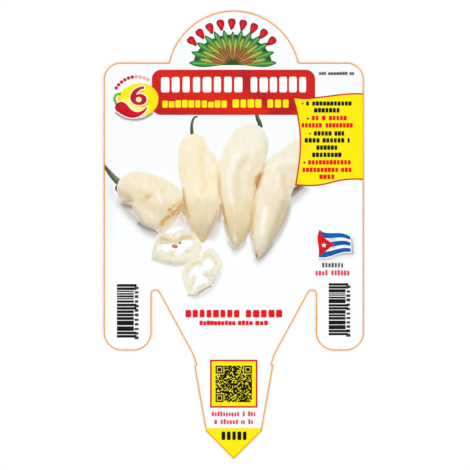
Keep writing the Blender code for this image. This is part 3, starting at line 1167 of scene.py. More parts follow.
def leaning_marks(p):
    p.wash((238, 224, 196), (14, 22), (20, 17), 0.8)
    p.wash((214, 202, 172), (15, 12), (20, 9), 0.9)
    p.stroke((243, 234, 208), [(10.4, 16), (9.6, 6), (9.4, -2)], 2.4, 0.5)
    p.stroke((253, 247, 228), [(13.6, 22.8), (14.8, 24.8), (17.6, 25.6), (20.8, 26.0)], (1.0, 0.9), 0.8)
    p.stroke((236, 222, 193), [(15.6, 22.6), (18.6, 23.0), (21.8, 23.2)], (0.9, 1.2), 0.75)
    p.stroke((249, 240, 222), [(15.0, 21.4), (15.2, 17.6)], 0.8, 0.8)
    p.stroke((240, 230, 206), [(19.8, 22.4), (18.8, 18.6)], 0.8, 0.7)
    p.stroke((224, 207, 176), [(17.2, 20.4), (17.8, 16.0)], 1.3, 0.7)
    p.dab((236, 221, 188), (12.6, 13.6), (2.4, 1.2), 0, 0.55)
    p.stroke((254, 248, 234), [(11.0, 9.0), (10.2, 4.6), (9.6, 0.4)], (1.4, 1.0), 0.9)
    p.stroke((203, 184, 148), [(17.2, 11.0), (15.8, 6.4), (14.2, 2.4), (12.6, -1.0)], (1.6, 1.3), 0.75)
    p.stroke((192, 180, 154), [(19.0, 9.6), (17.2, 4.8), (14.6, 0.0), (11.6, -4.4)], (1.0, 1.1), 0.9)
    p.stroke((234, 220, 194), [(13.0, 10.4), (13.4, 7.4)], 0.9, 0.5)
    p.stroke((218, 204, 180), [(18.2, 13.6), (17.8, 11.8)], 1.0, 0.5)
    p.wash((208, 198, 166), (9.8, -2.0), (8.8, -8.0), 0.8)
    p.dab((230, 224, 202), (8.8, -3.6), (0.7, 1.8), -10, 0.85)
    p.stroke((236, 208, 158), [(9.2, 19.0), (8.2, 15.4), (7.1, 8.0), (6.5, 2.0)], (0.6, 0.9), 0.85)
    p.stroke((214, 176, 124), [(6.8, 10.0), (6.3, 4.0), (6.4, 0.0)], (0.5, 0.6), 0.8)
    p.stroke((214, 176, 124), [(10.2, 21.6), (9.2, 18.8), (8.4, 16.4)], 0.55, 0.8)
    p.stroke((206, 192, 162), [(6.7, -1.4), (7.0, -4.0), (7.4, -6.8)], 0.55, 0.8)
    p.dab((190, 150, 112), (7.9, -6.4), (0.5, 0.9), 0, 0.8)
    p.dab((90, 56, 30), (7.9, -7.35), (0.5, 0.45), 0, 1.0)
    p.stroke((182, 174, 152), [(13.4, -2.4), (11.0, -5.6), (9.2, -7.2)], (0.4, 0.6), 0.7)


def halved_marks(p):
    p.wash((230, 215, 182), (-33, 16.3), (-34, 8.8), 0.85)
    p.wash((238, 225, 192), (-35, 18.8), (-38, 15.8), 0.7)
    p.stroke((211, 196, 165), [(-39.8, 14.6), (-38.2, 13.8), (-36.6, 13.2)], (1.9, 1.7), 0.95)
    p.stroke((192, 170, 138), [(-38.4, 11.2), (-36.8, 11.5), (-35.4, 11.9)], (0.8, 0.8), 0.9)
    p.dab((204, 180, 146), (-36.2, 12.6), (1.5, 1.2), 20, 0.6)
    p.dab((235, 219, 177), (-32.6, 14.6), (4.2, 1.4), -4, 0.85)
    p.dab((228, 212, 178), (-32.4, 12.0), (2.2, 1.4), 0, 0.6)
    p.dab((226, 190, 130), (-29.8, 13.2), (1.8, 1.0), 20, 0.95)
    p.dab((226, 204, 156), (-30.6, 11.8), (1.2, 0.8), 10, 0.6)
    p.stroke((252, 245, 226), [(-26.3, 14.8), (-26.0, 13.0), (-25.2, 11.2)], (0.9, 0.8), 0.9)
    p.stroke((246, 236, 208), [(-28.0, 12.0), (-26.4, 10.4)], 0.9, 0.7)
    p.dab((254, 245, 220), (-30.9, 17.2), (1.3, 0.7), 0, 0.8)
    p.dab((249, 240, 214), (-28.2, 17.0), (1.0, 0.7), 0, 0.6)
    p.dab((238, 223, 185), (-24.4, 15.0), (1.2, 1.0), -30, 0.8)
    p.dab((251, 243, 222), (-22.4, 13.4), (1.4, 0.8), -30, 0.4)
    path = [(-35.2, 10.2), (-33.4, 7.4), (-32.2, 5.2), (-30.4, 3.6), (-27.6, 2.4)]
    p.stroke((208, 200, 175), path, (1.0, 1.1), 0.9)
    p.stroke((190, 178, 156), [(-32.0, 4.4), (-30.8, 3.7), (-29.4, 3.0), (-27.4, 2.0)], (0.5, 0.6), 0.7)
    p.stroke((242, 235, 209), [(-31.4, 8.4), (-29.4, 7.6), (-28.0, 6.2)], (0.9, 1.0), 0.85)
    p.dab((228, 214, 172), (-25.6, 8.1), (1.6, 0.8), 8, 0.85)
    p.dab((236, 229, 206), (-26.4, 5.6), (1.4, 0.8), -30, 0.8)
    p.stroke((214, 205, 182), [(-28.8, 3.7), (-26.2, 2.8)], (0.9, 1.0), 0.8)
    p.edge((251, 246, 226), 1.0, 0.5, towards=95, spread=0.8)
    # The cut: a pale wall with ochre hollows.
    p.stroke((222, 206, 174), [(-24.6, 1.4), (-22.4, 3.4), (-20.6, 5.8), (-18.6, 9.2)], (1.5, 1.2), 0.95)
    p.stroke((204, 160, 82), [(-24.9, 3.9), (-24.1, 5.0), (-22.6, 6.3), (-21.2, 7.2)], (1.05, 0.8), 0.95)
    p.stroke((202, 156, 84), [(-21.2, 7.3), (-20.0, 8.3), (-19.0, 9.3), (-18.0, 10.5)], (0.85, 1.1), 0.95)
    p.dab((222, 196, 142), (-22.9, 4.7), (0.9, 0.5), 45, 0.8)
    p.dab((226, 186, 124), (-17.4, 11.8), (0.6, 0.8), 0, 0.9)
    p.stroke((204, 168, 104), [(-19.6, 7.2), (-18.4, 8.6)], 0.6, 0.9)
    p.dab((246, 232, 196), (-21.9, 7.0), (0.6, 0.3), 45, 0.8)
    p.dab((240, 222, 180), (-19.9, 7.8), (0.5, 0.3), 45, 0.7)
    p.stroke((222, 176, 92), [(-19.4, 9.4), (-18.6, 10.1)], 0.5, 0.8)
    p.stroke((230, 200, 140), [(-21.4, 9.4), (-19.9, 10.7), (-18.4, 12.0)], (0.55, 0.5), 0.8)
    p.dab((212, 132, 48), (-22.1, 8.7), (0.95, 0.65), 10, 1.0)
    p.dab((222, 170, 80), (-20.8, 10.0), (0.7, 0.45), 20, 0.9)
    p.dab((248, 228, 196), (-20.2, 9.1), (0.6, 0.4), 30, 0.9)
    p.dab((250, 240, 232), (-21.0, 11.6), (0.7, 0.4), 30, 0.6)
    p.dab((224, 160, 110), (-21.6, 7.7), (0.5, 0.3), 30, 0.7)
    p.stroke((238, 230, 206), [(-24.2, 1.5), (-22.3, 3.2), (-21.0, 4.7)], (0.5, 0.45), 0.8)
    p.stroke((214, 188, 146), [(-25.4, 4.0), (-25.2, 3.0)], 0.5, 0.4)


# Each chilli: name, layer, outline, ground colour, marks.
CHILLIES = (
    ("cut_chilli", "low_picture", HALVED, (246, 235, 205), halved_marks),
    ("leaning_chilli", "low_picture", LEANING, (247, 238, 214), leaning_marks),
    ("tall_chilli", "picture", TALL, (248, 242, 224), tall_marks),
    ("upright_chilli", "front_picture", UPRIGHT, (250, 239, 206), upright_marks),
)

# Each stalk's name, middle line, its half width at both ends, and its colour at both ends.
STALKS = (
    (
        "upright_stalk",
        [(-12.5, 41.0), (-13.6, 40.6), (-14.3, 39.2), (-14.55, 37.2), (-14.4, 34.6)],
        (0.32, 0.60),
        ((96, 110, 84), (74, 84, 56)),
    ),
    (
        "tall_stalk",
        [(7.9, 42.2), (8.2, 40.4), (8.9, 38.8), (9.3, 37.0)],
        (0.60, 0.82),
        ((84, 96, 80), (62, 78, 56)),
    ),
    (
        "cut_chilli_stalk",
        [(-46.2, 25.7), (-45.0, 24.2), (-43.0, 21.6), (-41.3, 19.6), (-39.4, 17.9)],
        (0.35, 1.2),
        ((75, 72, 60), (108, 126, 86)),
    ),
)
SEPAL = [(-41.0, 16.6), (-40.4, 17.2), (-39.8, 16.0), (-40.1, 14.8), (-40.8, 15.3)]


def chilli(name, layer, outline, ground, marks):
    """One printed chilli with its own marks, faint spots and a light upper rim."""

    def all_marks(p):
        marks(p)
        p.mottle(*MOTTLE, seed=len(name))
        p.edge((250, 249, 245), 0.3, 0.5, towards=95, spread=1.2)

    painted_film(name, [through(outline)], layer, fine_pitch(), ground, all_marks)


def stalk(name, path, widths, tones):
    """One printed stalk, dark along one side and light along the other. The cut edge cuts it off."""
    loop = clipped(ribbon(path, widths), (UPPER_EDGE_GAP - HALF_WIDTH, 0), (1, 0))
    line, wide = through(path, closed=False), widths[1]

    def marks(p):
        p.wash(tones[1], path[0], path[-1])
        p.stroke((40, 46, 34), line + (-0.4 * wide, -0.5 * wide), wide * 0.55, 0.45)
        p.stroke((158, 176, 128), line + (0.2 * wide, 0.3 * wide), wide * 0.4, 0.3)

    loops = [divided(loop, 0.3)]
    painted_film(name, loops, "behind", pitch=0.26, ground=tones[0], marks=marks)


class LABEL_OT_chillies(Operator):
    """Prints the three whole chillies and the cut one, each with its stalk"""

    bl_idname = "plant_label.chillies"
    bl_label = "Chillies"

    def execute(self, context):
        for described in STALKS:
            stalk(*described)
        film("cut_chilli_sepal", [through(SEPAL, 0.2)], "behind", "sepal_ink")
        for described in CHILLIES:
            chilli(*described)
        return {"FINISHED"}


# ------------------------------------------------------------------ the slices of the picture


FIRST_SLICE = [
    (-26.1, -0.6), (-25.3, 0.2), (-24.3, 0.6), (-22.7, 0.4), (-21.1, 0.5), (-19.7, 1.1),
    (-18.3, 1.7), (-16.9, 2.0), (-15.1, 1.6), (-13.8, 0.8), (-12.9, -0.1), (-12.1, -1.3),
    (-11.2, -2.9), (-11.0, -4.3), (-11.6, -6.1), (-12.7, -7.7), (-14.5, -9.0), (-17.1, -10.0),
    (-19.5, -10.5), (-21.9, -10.3), (-24.1, -9.8), (-26.3, -9.1), (-27.9, -8.5),
    (-28.4, -7.3), (-28.1, -5.7), (-27.7, -4.1), (-27.1, -2.7), (-26.7, -1.5),
]  # fmt: skip
FIRST_HOLE = [
    (-25.4, -4.6), (-24.8, -3.5), (-23.1, -3.2), (-21.3, -3.2), (-19.7, -3.3), (-18.6, -3.0),
    (-17.9, -2.1), (-16.5, -1.8), (-14.6, -2.0), (-14.0, -3.1), (-14.8, -4.0), (-16.5, -4.5),
    (-17.0, -5.5), (-17.8, -6.4), (-19.1, -6.6), (-19.9, -7.1), (-20.4, -6.5), (-19.8, -5.7),
    (-21.1, -5.3), (-22.9, -5.7), (-24.3, -5.4),
]  # fmt: skip
SECOND_SLICE = [
    (-17.2, -11.1), (-16.3, -9.9), (-14.9, -9.0), (-13.3, -7.7), (-11.5, -6.8), (-9.9, -5.5),
    (-8.5, -4.7), (-7.3, -4.8), (-6.2, -5.9), (-5.2, -7.3), (-4.2, -9.0), (-3.8, -10.5),
    (-4.1, -11.7), (-5.1, -12.8), (-5.8, -13.9), (-6.4, -15.3), (-6.9, -16.8), (-8.3, -17.6),
    (-9.8, -18.2), (-11.2, -19.2), (-12.8, -20.0), (-14.4, -20.6), (-15.8, -20.3),
    (-16.7, -18.7), (-17.3, -16.9), (-17.9, -14.5), (-17.8, -12.7),
]  # fmt: skip
SECOND_HOLE = [
    (-15.6, -14.3), (-14.6, -12.3), (-13.4, -11.0), (-12.5, -10.8), (-12.0, -11.8),
    (-11.4, -11.3), (-10.8, -10.1), (-9.8, -8.7), (-8.9, -8.0), (-8.1, -8.3), (-7.3, -9.3),
    (-6.8, -10.2), (-7.2, -11.4), (-8.3, -12.1), (-10.5, -12.5), (-10.8, -13.4),
    (-10.0, -14.6), (-8.9, -15.3), (-9.3, -16.1), (-10.7, -16.7), (-12.1, -17.5),
    (-14.0, -18.4), (-13.8, -17.3), (-13.1, -15.7), (-13.1, -14.4), (-13.9, -13.6),
    (-14.5, -14.5), (-15.2, -15.0),
]  # fmt: skip


def first_slice_marks(p):
    path = [(-27.9, -7.9), (-24.9, -8.9), (-21.9, -9.6), (-18.9, -9.9), (-16.7, -9.6)]
    p.stroke((217, 210, 184), path, 0.85, 0.9)
    p.stroke((228, 223, 198), [(-26.3, -1.5), (-27.2, -4.1), (-27.9, -7.1)], 0.6, 0.85)
    p.stroke((225, 218, 194), [(-26.9, -7.3), (-25.3, -7.5)], 0.8, 0.6)
    p.stroke((249, 246, 232), [(-26.2, -3.3), (-26.5, -5.7)], 0.6, 0.5)
    p.stroke((212, 196, 154), [(-25.0, -1.4), (-23.4, -1.5), (-21.9, -1.8)], (1.1, 0.8), 0.9)
    p.stroke((214, 205, 182), [(-25.3, -3.0), (-23.9, -2.9), (-22.3, -2.7)], 0.55, 0.9)
    path = [(-21.3, -2.8), (-19.5, -2.0), (-17.7, -1.3), (-15.9, -1.3), (-14.8, -1.5)]
    p.stroke((228, 212, 170), path, 0.75, 0.95)
    p.stroke((224, 202, 154), [(-18.3, -0.9), (-16.8, -0.6), (-15.0, -0.7)], 0.95, 0.9)
    p.stroke((238, 230, 206), [(-24.9, 0.1), (-23.3, -0.2)], 0.5, 0.6)
    p.stroke((252, 248, 238), [(-19.1, 0.3), (-18.8, -0.5)], 0.5, 0.8)
    p.dab((250, 242, 208), (-20.8, -1.5), (0.55, 0.5), 0, 0.9)
    p.dab((222, 192, 122), (-22.1, -1.2), (0.5, 0.35), 0, 0.7)
    p.dab((214, 190, 156), (-19.1, -2.8), (0.5, 0.35), 0, 0.9)
    p.dab((234, 222, 164), (-15.8, -5.6), (0.9, 0.7), 10, 0.95)
    p.dab((232, 223, 178), (-20.9, -7.2), (0.9, 0.5), 10, 0.9)
    p.dab((232, 224, 168), (-15.8, -8.5), (1.0, 0.5), 20, 0.9)
    p.dab((250, 249, 241), (-16.5, -4.4), (0.9, 0.6), 10, 0.9)
    p.dab((251, 245, 236), (-19.5, -7.3), (0.7, 0.5), 0, 0.8)
    p.stroke((249, 243, 224), [(-12.8, -2.7), (-13.3, -5.7), (-16.1, -7.5)], (0.9, 0.8), 0.7)
    p.stroke((240, 231, 202), [(-11.9, -2.3), (-11.5, -4.5)], 0.45, 0.7)
    p.edge((248, 246, 236), 0.35, 0.6, loop=1)


def second_slice_marks(p):
    p.stroke((246, 242, 225), [(-16.9, -12.1), (-16.8, -14.7), (-16.3, -17.5)], 0.8, 0.8)
    p.stroke((236, 232, 208), [(-15.9, -11.7), (-16.1, -13.9)], 0.45, 0.5)
    p.stroke((229, 215, 174), [(-14.1, -10.3), (-13.1, -9.8), (-12.3, -9.5)], 0.55, 0.95)
    p.dab((242, 228, 190), (-12.5, -8.4), (0.9, 0.6), 30, 0.8)
    p.stroke((228, 219, 184), [(-10.3, -7.8), (-8.9, -7.0), (-7.9, -6.9)], 0.45, 0.85)
    p.stroke((234, 224, 188), [(-7.4, -8.0), (-6.5, -9.0), (-6.0, -10.1)], (0.6, 0.5), 0.85)
    p.stroke((248, 245, 226), [(-8.1, -5.5), (-6.1, -7.5), (-5.1, -9.5)], 0.5, 0.6)
    p.stroke((224, 218, 198), [(-10.2, -13.9), (-8.7, -14.2), (-7.1, -14.0)], 0.5, 0.95)
    p.stroke((240, 236, 212), [(-8.5, -13.1), (-7.5, -13.2)], 0.4, 0.6)
    p.stroke((210, 205, 184), [(-4.8, -12.6), (-5.8, -14.0), (-6.6, -15.7), (-7.1, -16.9)], 0.5, 0.9)
    p.stroke((224, 221, 203), [(-8.1, -15.5), (-7.9, -16.7), (-10.1, -17.5), (-12.5, -18.5)], 0.6, 0.8)
    p.stroke((200, 195, 164), [(-10.9, -19.1), (-12.1, -19.8), (-13.3, -20.3)], 0.45, 0.9)
    p.stroke((239, 230, 194), [(-14.0, -14.7), (-14.1, -16.3), (-14.6, -17.5)], 0.5, 0.95)
    p.edge((249, 247, 238), 0.3, 0.6, loop=1)


SLICES = (
    ("first_slice", "slice", FIRST_SLICE, FIRST_HOLE, first_slice_marks),
    ("second_slice", "front_slice", SECOND_SLICE, SECOND_HOLE, second_slice_marks),
)
FLESH = (241, 236, 214)
SLICE_MOTTLE = (220, 0.45, 11)  # as for the chillies
SEEDS = (
    (
        "seed_large",
        [(-21.5, -3.7), (-20.7, -3.3), (-19.8, -3.4), (-19.4, -4.1), (-20.0, -4.6), (-20.9, -4.4)],
        (206, 132, 66),
    ),
    (
        "seed_small",
        [(-19.0, -2.7), (-18.6, -2.35), (-18.2, -2.6), (-18.3, -3.05), (-18.7, -3.1)],
        (136, 92, 66),
    ),
)


def chilli_slice(name, layer, outline, hole, marks):
    def all_marks(p):
        marks(p)
        p.mottle(*SLICE_MOTTLE, seed=len(name))

    painted_film(name, [through(outline), through(hole)], layer, fine_pitch(), FLESH, all_marks)


def seed(name, outline, colour):
    """One printed seed, dark along its lower right side, with a light spot."""
    loop = through(outline, 0.15)

    def marks(p):
        p.edge([0.72 * part for part in colour], 0.3, 0.8, towards=-60)
        p.dab((244, 190, 130), loop.mean(axis=0) + (0.1, 0.15), (0.5, 0.25), 20, 0.5)

    painted_film(name, [loop], "seed", pitch=0.16, ground=colour, marks=marks)


class LABEL_OT_slices(Operator):
    """Prints the two slices of chilli and their seeds"""

    bl_idname = "plant_label.slices"
    bl_label = "Slices"

    def execute(self, context):
        for described in SLICES:
            chilli_slice(*described)
        for described in SEEDS:
            seed(*described)
        return {"FINISHED"}


# ------------------------------------------------------------------ banner, card, badge and captions


BANNER = (-28.3, 41.5, 28.1, 57.1, 3.2)  # left, bottom, right, top, corner radius
TITLE_ROW = [(49.3, 54.7, [(-25.5, 3.4), (5.3, 25.5)])]
SUBTITLE_ROW = [(44.0, 46.7, [(-24.9, -2.2)])]
STRENGTH_ROW = [(44.0, 46.9, [(-0.6, 9.8), (11.3, 19.3)])]
# Words are given as name, rows, layer, ink, letter width, least height, seed and weight.
BANNER_WORDS = (
    ("banner_title", TITLE_ROW, "banner_type", "white_ink", 3.45, 0.96, 0, 0.93),
    ("banner_subtitle", SUBTITLE_ROW, "banner_type", "title_yellow_ink", 2.25, 0.72, 3, 1.0),
    ("banner_strength", STRENGTH_ROW, "banner_type", "title_yellow_ink", 2.6, 0.96, 5, 1.0),
)


def banner_marks(p):
    p.stroke((226, 38, 16), [(-22, 54), (-12, 50), (0, 46.5), (10, 44.5)], (5.0, 3.0), 0.9)
    p.stroke((232, 40, 20), [(-6, 44.6), (6, 43.6), (12, 42.6)], 2.0, 0.7)
    p.stroke((180, 24, 38), [(2.6, 57), (4.4, 53.6), (7.6, 49.6), (12.4, 45.6)], (2.6, 2.4), 0.75)
    p.stroke((178, 24, 36), [(13.6, 42.0), (18.0, 43.0), (21.6, 45.2)], (2.0, 2.4), 0.8)
    p.stroke((190, 26, 32), [(-28.0, 44.4), (-24.0, 42.0), (-18.0, 41.6)], (2.4, 1.6), 0.75)
    p.dab((196, 28, 30), (-25.6, 50.4), (2.2, 3.0), 0, 0.5)
    p.dab((220, 36, 20), (24.0, 53.4), (5.0, 3.2), 10, 0.6)


class LABEL_OT_banner(Operator):
    """Prints the red banner with rows of plain blocks for its title"""

    bl_idname = "plant_label.banner"
    bl_label = "Banner"

    def execute(self, context):
        loop = divided(rounded_box(*BANNER), 0.8)
        red = (210, 30, 24)
        painted_film("banner", [loop], "banner", pitch=0.7, ground=red, marks=banner_marks)
        for words in BANNER_WORDS:
            block_words(*words)
        return {"FINISHED"}


# The card's three free sides, each running on from the one before.
CARD_SIDES = (
    [
        (20.3, 47.75), (21.5, 43.3), (22.3, 39.0), (22.75, 34.4), (22.75, 28.8), (22.1, 22.6),
        (21.2, 17.1),
    ],
    [(21.2, 17.1), (27.5, 16.9), (31.6, 17.4), (36.4, 18.6), (41.3, 19.1), (47.0, 18.8)],
    [
        (47.0, 48.8), (41.3, 49.0), (36.4, 48.6), (32.3, 48.1), (28.2, 47.6), (24.3, 47.35),
        (20.3, 47.75),
    ],
)  # fmt: skip

CARD_BLACK = [
    (44.7, 46.2, [(24.9, 26.1), (27.0, 40.8)]),
    (42.3, 43.9, [(27.7, 36.7)]),
    (34.3, 35.9, [(27.6, 33.9), (34.7, 38.3)]),
    (31.9, 33.5, [(24.4, 29.8), (30.6, 38.3), (39.2, 40.2)]),
    (29.4, 31.0, [(28.5, 35.9)]),
    (26.9, 28.5, [(27.0, 37.3)]),
]
CARD_RED = [
    (39.6, 41.2, [(26.9, 29.4), (30.4, 31.8), (32.8, 39.1)]),
    (37.1, 38.7, [(23.3, 30.5), (31.6, 41.2)]),
    (24.3, 25.9, [(25.6, 40.5)]),
    (21.7, 23.3, [(23.6, 36.2), (37.0, 40.8)]),
    (19.3, 20.9, [(29.5, 34.9)]),
]
CARD_WORDS = (
    ("card_black_rows", CARD_BLACK, "card_type", "black_ink", 1.22, 0.95, 1, 1.0),
    ("card_red_rows", CARD_RED, "card_type", "type_red_ink", 1.22, 0.95, 2, 1.0),
)
CARD_RED_DOTS = [(23.8, 45.4), (26.4, 35.0)]
CARD_BLACK_DOTS = [(25.6, 40.2), (24.4, 25.0)]
BULLET = 0.36  # radius
CUT_OFF = 1.2  # the card's points nearer than this to the cut edge lie where the cut takes it off


class LABEL_OT_card(Operator):
    """Prints the yellow card with its red edge, its bullets and its rows of blocks"""

    bl_idname = "plant_label.card"
    bl_label = "Information card"

    def execute(self, context):
        edge = context.scene.plant_label_print.card_edge / MM
        loop = joined(*(through(side, closed=False)[:-1] for side in CARD_SIDES))
        loop = clipped(loop, (HALF_WIDTH - EDGE_GAP, 0), (-1, 0))
        film("card_edge", [loop], "card_edge", "card_edge_ink")
        face = clipped(grown(loop, -edge), (0, 0), (1, 0))
        # There the yellow runs out to the cut edge, without a red line between them.
        cut_off = face[:, 0] > HALF_WIDTH - CUT_OFF
        face[cut_off, 0] = HALF_WIDTH - UPPER_EDGE_GAP
        film("card", [face], "card", "card_yellow_ink")
        for words in CARD_WORDS:
            block_words(*words)
        dots("card_red_bullets", CARD_RED_DOTS, BULLET, "card_type", "type_red_ink")
        dots("card_black_bullets", CARD_BLACK_DOTS, BULLET, "card_type", "black_ink")
        return {"FINISHED"}


BADGE_PITCH = 0.3  # between the coloured points of the badge
BADGE = [
    (-40.2, 46.9), (-39.8, 48.3), (-38.9, 49.6), (-37.2, 50.8), (-35.0, 51.9), (-32.4, 52.4),
    (-29.8, 52.0), (-27.6, 50.6), (-26.3, 48.6), (-26.1, 46.4), (-26.8, 44.2), (-28.4, 42.4),
    (-30.6, 41.4), (-33.2, 41.6), (-36.0, 43.4), (-38.2, 45.4), (-39.4, 45.9),
]  # fmt: skip
BADGE_CHILLI = [
    (-40.2, 45.5), (-38.9, 46.1), (-37.5, 45.5), (-36.4, 44.4), (-35.4, 43.3), (-34.3, 42.66),
    (-33.1, 42.5), (-31.85, 42.9), (-30.8, 43.6), (-30.1, 44.3), (-29.95, 43.9), (-30.5, 42.8),
    (-31.5, 41.8), (-32.9, 40.9), (-34.7, 40.45), (-36.4, 40.65), (-38.0, 41.25), (-39.4, 42.1),
    (-40.7, 43.0), (-41.1, 44.0), (-40.8, 44.9),
]  # fmt: skip
BADGE_STALK = [(-40.4, 44.9), (-41.0, 46.2), (-41.2, 47.4), (-40.6, 48.5), (-39.5, 48.7)]
SIX = [
    (-31.1, 51.3), (-31.0, 50.6), (-32.0, 50.3), (-33.1, 49.5), (-33.65, 48.5), (-32.7, 48.75),
    (-31.5, 48.6), (-30.45, 47.9), (-30.1, 46.75), (-30.5, 45.7), (-31.5, 45.05), (-33.1, 44.9),
    (-34.5, 45.3), (-35.5, 46.3), (-35.8, 47.4), (-35.5, 48.7), (-34.7, 49.9), (-33.3, 50.85),
    (-32.0, 51.3),
]  # fmt: skip
SIX_EYE = ((-32.85, 46.8), (0.97, 0.9))  # centre, half width and half height
NUMBER_HALO, CHILLI_HALO = 0.34, 0.32  # widths of the white round them
STALK_END = 0.52  # radius
EYE_RADIUS = 0.5
SCALE_ARC = ((-33.6, 46.4), 8.3, 148, 62)  # centre, radius, first and last angle of the scale's dots
SCALE_STEPS, FILLED_STEPS, SCALE_DOT = 10, 6, 0.58  # the last is a radius


def badge_marks(p):
    p.dab((255, 251, 160), (-35.8, 45.2), (4.6, 2.2), -28, 0.85)
    p.dab((255, 250, 150), (-33.4, 43.6), (3.6, 1.6), 0, 0.8)
    p.stroke((255, 226, 0), [(-28.0, 51.0), (-26.6, 47.8), (-27.6, 43.6)], (1.4, 1.0), 0.7)
    p.stroke((214, 214, 0), [(-30.6, 52.2), (-28.0, 50.9), (-26.6, 48.6)], 0.5, 0.4)
    p.dab((255, 196, 20), (-39.8, 47.2), (0.9, 0.9), 0, 0.8)
    p.stroke((226, 190, 60), [(-33.8, 44.6), (-31.8, 44.3), (-30.0, 45.2), (-29.4, 46.6)], 0.3, 0.8)
    p.stroke((196, 180, 90), [(-31.2, 49.8), (-32.6, 48.9)], 0.35, 0.6)


def badge_chilli_marks(p):
    p.wash((236, 8, 22), (-37.5, 44), (-31, 42.4), 0.9)
    p.dab((214, 20, 34), (-38.6, 44.0), (1.4, 1.0), -20, 0.6)
    p.edge((150, 10, 24), 0.6, 0.5, towards=-120, spread=1.0)
    p.stroke((246, 60, 60), [(-39.0, 45.1), (-37.4, 44.3), (-35.8, 43.0)], 0.35, 0.35)


class LABEL_OT_badge(Operator):
    """Prints the heat badge: a yellow disc, a red chilli, a plain number and a ten-step scale"""

    bl_idname = "plant_label.badge"
    bl_label = "Heat badge"

    def execute(self, context):
        pod, six = through(BADGE_CHILLI), through(SIX, 0.2)
        yellow, red = (255, 238, 0), (200, 14, 30)
        painted_film("badge_disc", [through(BADGE)], "banner_type", BADGE_PITCH, yellow, badge_marks)
        film("badge_chilli_halo", [grown(pod, CHILLI_HALO)], "card_edge", "white_ink")
        film("badge_number_halo", [grown(six, NUMBER_HALO)], "card_edge", "white_ink")
        painted_film("badge_chilli", [pod], "card", BADGE_PITCH, red, badge_chilli_marks)
        film("badge_stalk", [ribbon(BADGE_STALK, (0.42, 0.36))], "card", "stalk_green_ink")
        dots("badge_stalk_end", [BADGE_STALK[-1]], STALK_END, "card_type", "stalk_green_ink")
        film("badge_number", [six, disc(*SIX_EYE, count=28)], "card", "number_red_ink")
        film("badge_number_eye", [disc(SIX_EYE[0], EYE_RADIUS, count=20)], "card", "card_yellow_ink")
        _, _, first, last = SCALE_ARC
        spots = arc(*SCALE_ARC, step=(first - last) / (SCALE_STEPS - 1))
        dots("scale_filled", spots[:FILLED_STEPS], SCALE_DOT, "card", "number_red_ink")
        dots("scale_open", spots[FILLED_STEPS:], SCALE_DOT, "card", "scale_pale_ink")
        return {"FINISHED"}


SCAN_ROWS = [
    (-62.7, -61.0, [(-7.7, 2.0), (3.0, 3.9), (4.8, 7.6)]),
    (-65.4, -63.7, [(-6.9, -5.6), (-4.7, 1.6), (2.4, 3.9), (4.9, 6.8)]),
]
NAME_ROW = [(-28.5, -25.9, [(-16.9, 2.2), (3.8, 17.0)])]
KIND_ROW = [(-31.2, -29.6, [(-11.9, 0.6), (1.4, 6.6), (7.4, 11.9)])]
ORIGIN_ROW = [(-11.2, -9.6, [(30.4, 38.0)])]
COUNTRY_ROW = [(-14.0, -12.1, [(28.1, 32.6), (33.6, 40.1)])]
ADDRESS_ROW = [(55.3, 56.4, [(29.4, 32.0), (32.6, 39.4), (40.0, 41.7)])]
CAPTIONS = (
    ("name_row", NAME_ROW, "card", "type_red_ink", 2.45, 0.96, 0, 0.93),
    ("kind_row", KIND_ROW, "card", "type_red_ink", 1.3, 0.8, 4, 1.0),
    ("scan_rows", SCAN_ROWS, "card", "caption_pink_ink", 1.0, 0.72, 5, 0.78),
    ("origin_row", ORIGIN_ROW, "card", "grey_ink", 1.05, 0.72, 6, 0.78),
    ("country_row", COUNTRY_ROW, "card", "caption_pink_ink", 1.1, 0.72, 8, 0.78),
    ("address_row", ADDRESS_ROW, "card", "grey_ink", 0.95, 0.8, 9, 1.0),
)


class LABEL_OT_captions(Operator):
    """Prints the rows of blocks that stand for the captions"""

    bl_idname = "plant_label.captions"
    bl_label = "Captions"

    def execute(self, context):
        for words in CAPTIONS:
            block_words(*words)
        return {"FINISHED"}


# ------------------------------------------------------------------ emblem


# One leaf and one pod, each standing on the origin's side of the arc it is set on.
LEAF = [
    (0.0, 2.0), (0.3, 3.6), (0.68, 5.8), (0.95, 8.0), (0.84, 9.7), (0.42, 11.0), (0.0, 11.7),
    (-0.42, 11.0), (-0.84, 9.7), (-0.95, 8.0), (-0.68, 5.8), (-0.3, 3.6),
]  # fmt: skip
POD = [
    (0.0, 2.0), (0.95, 1.8), (1.35, 0.9), (1.15, 0.0), (0.75, -0.9), (0.25, -1.7), (-0.2, -1.9),
    (-0.5, -1.5), (-0.75, -0.7), (-1.1, 0.1), (-1.3, 0.9), (-0.95, 1.8),
]  # fmt: skip
# Each row of leaves: layer, size, count, first angle, sweep, edge colour, rib colour, colour.
LEAF_ROWS = (
    ("low_picture", 1.0, 13, 177, -174, (40, 96, 40), (196, 214, 96), (34, 142, 66)),
    ("picture", 0.80, 12, 170, -160, (92, 84, 40), (214, 224, 120), (140, 164, 60)),
    ("front_picture", 0.56, 9, 166, -152, (104, 36, 24), (226, 150, 96), (158, 66, 42)),
)
EMBLEM_CENTRE = (-0.35, 58.7)
EMBLEM_REACH = (13.6, 10.6)  # half width and height of the dark green behind the leaves
SIDE_LEAF_SIZE = 1.30  # how much longer the leaves are at the sides than at the top
PODS = (9, (-0.7, 54.6), 18.2, 138, -96, 1.0)  # count, centre, radius, first angle, sweep, side size
LEAF_PITCH, POD_PITCH = 0.3, 0.2  # between their coloured points


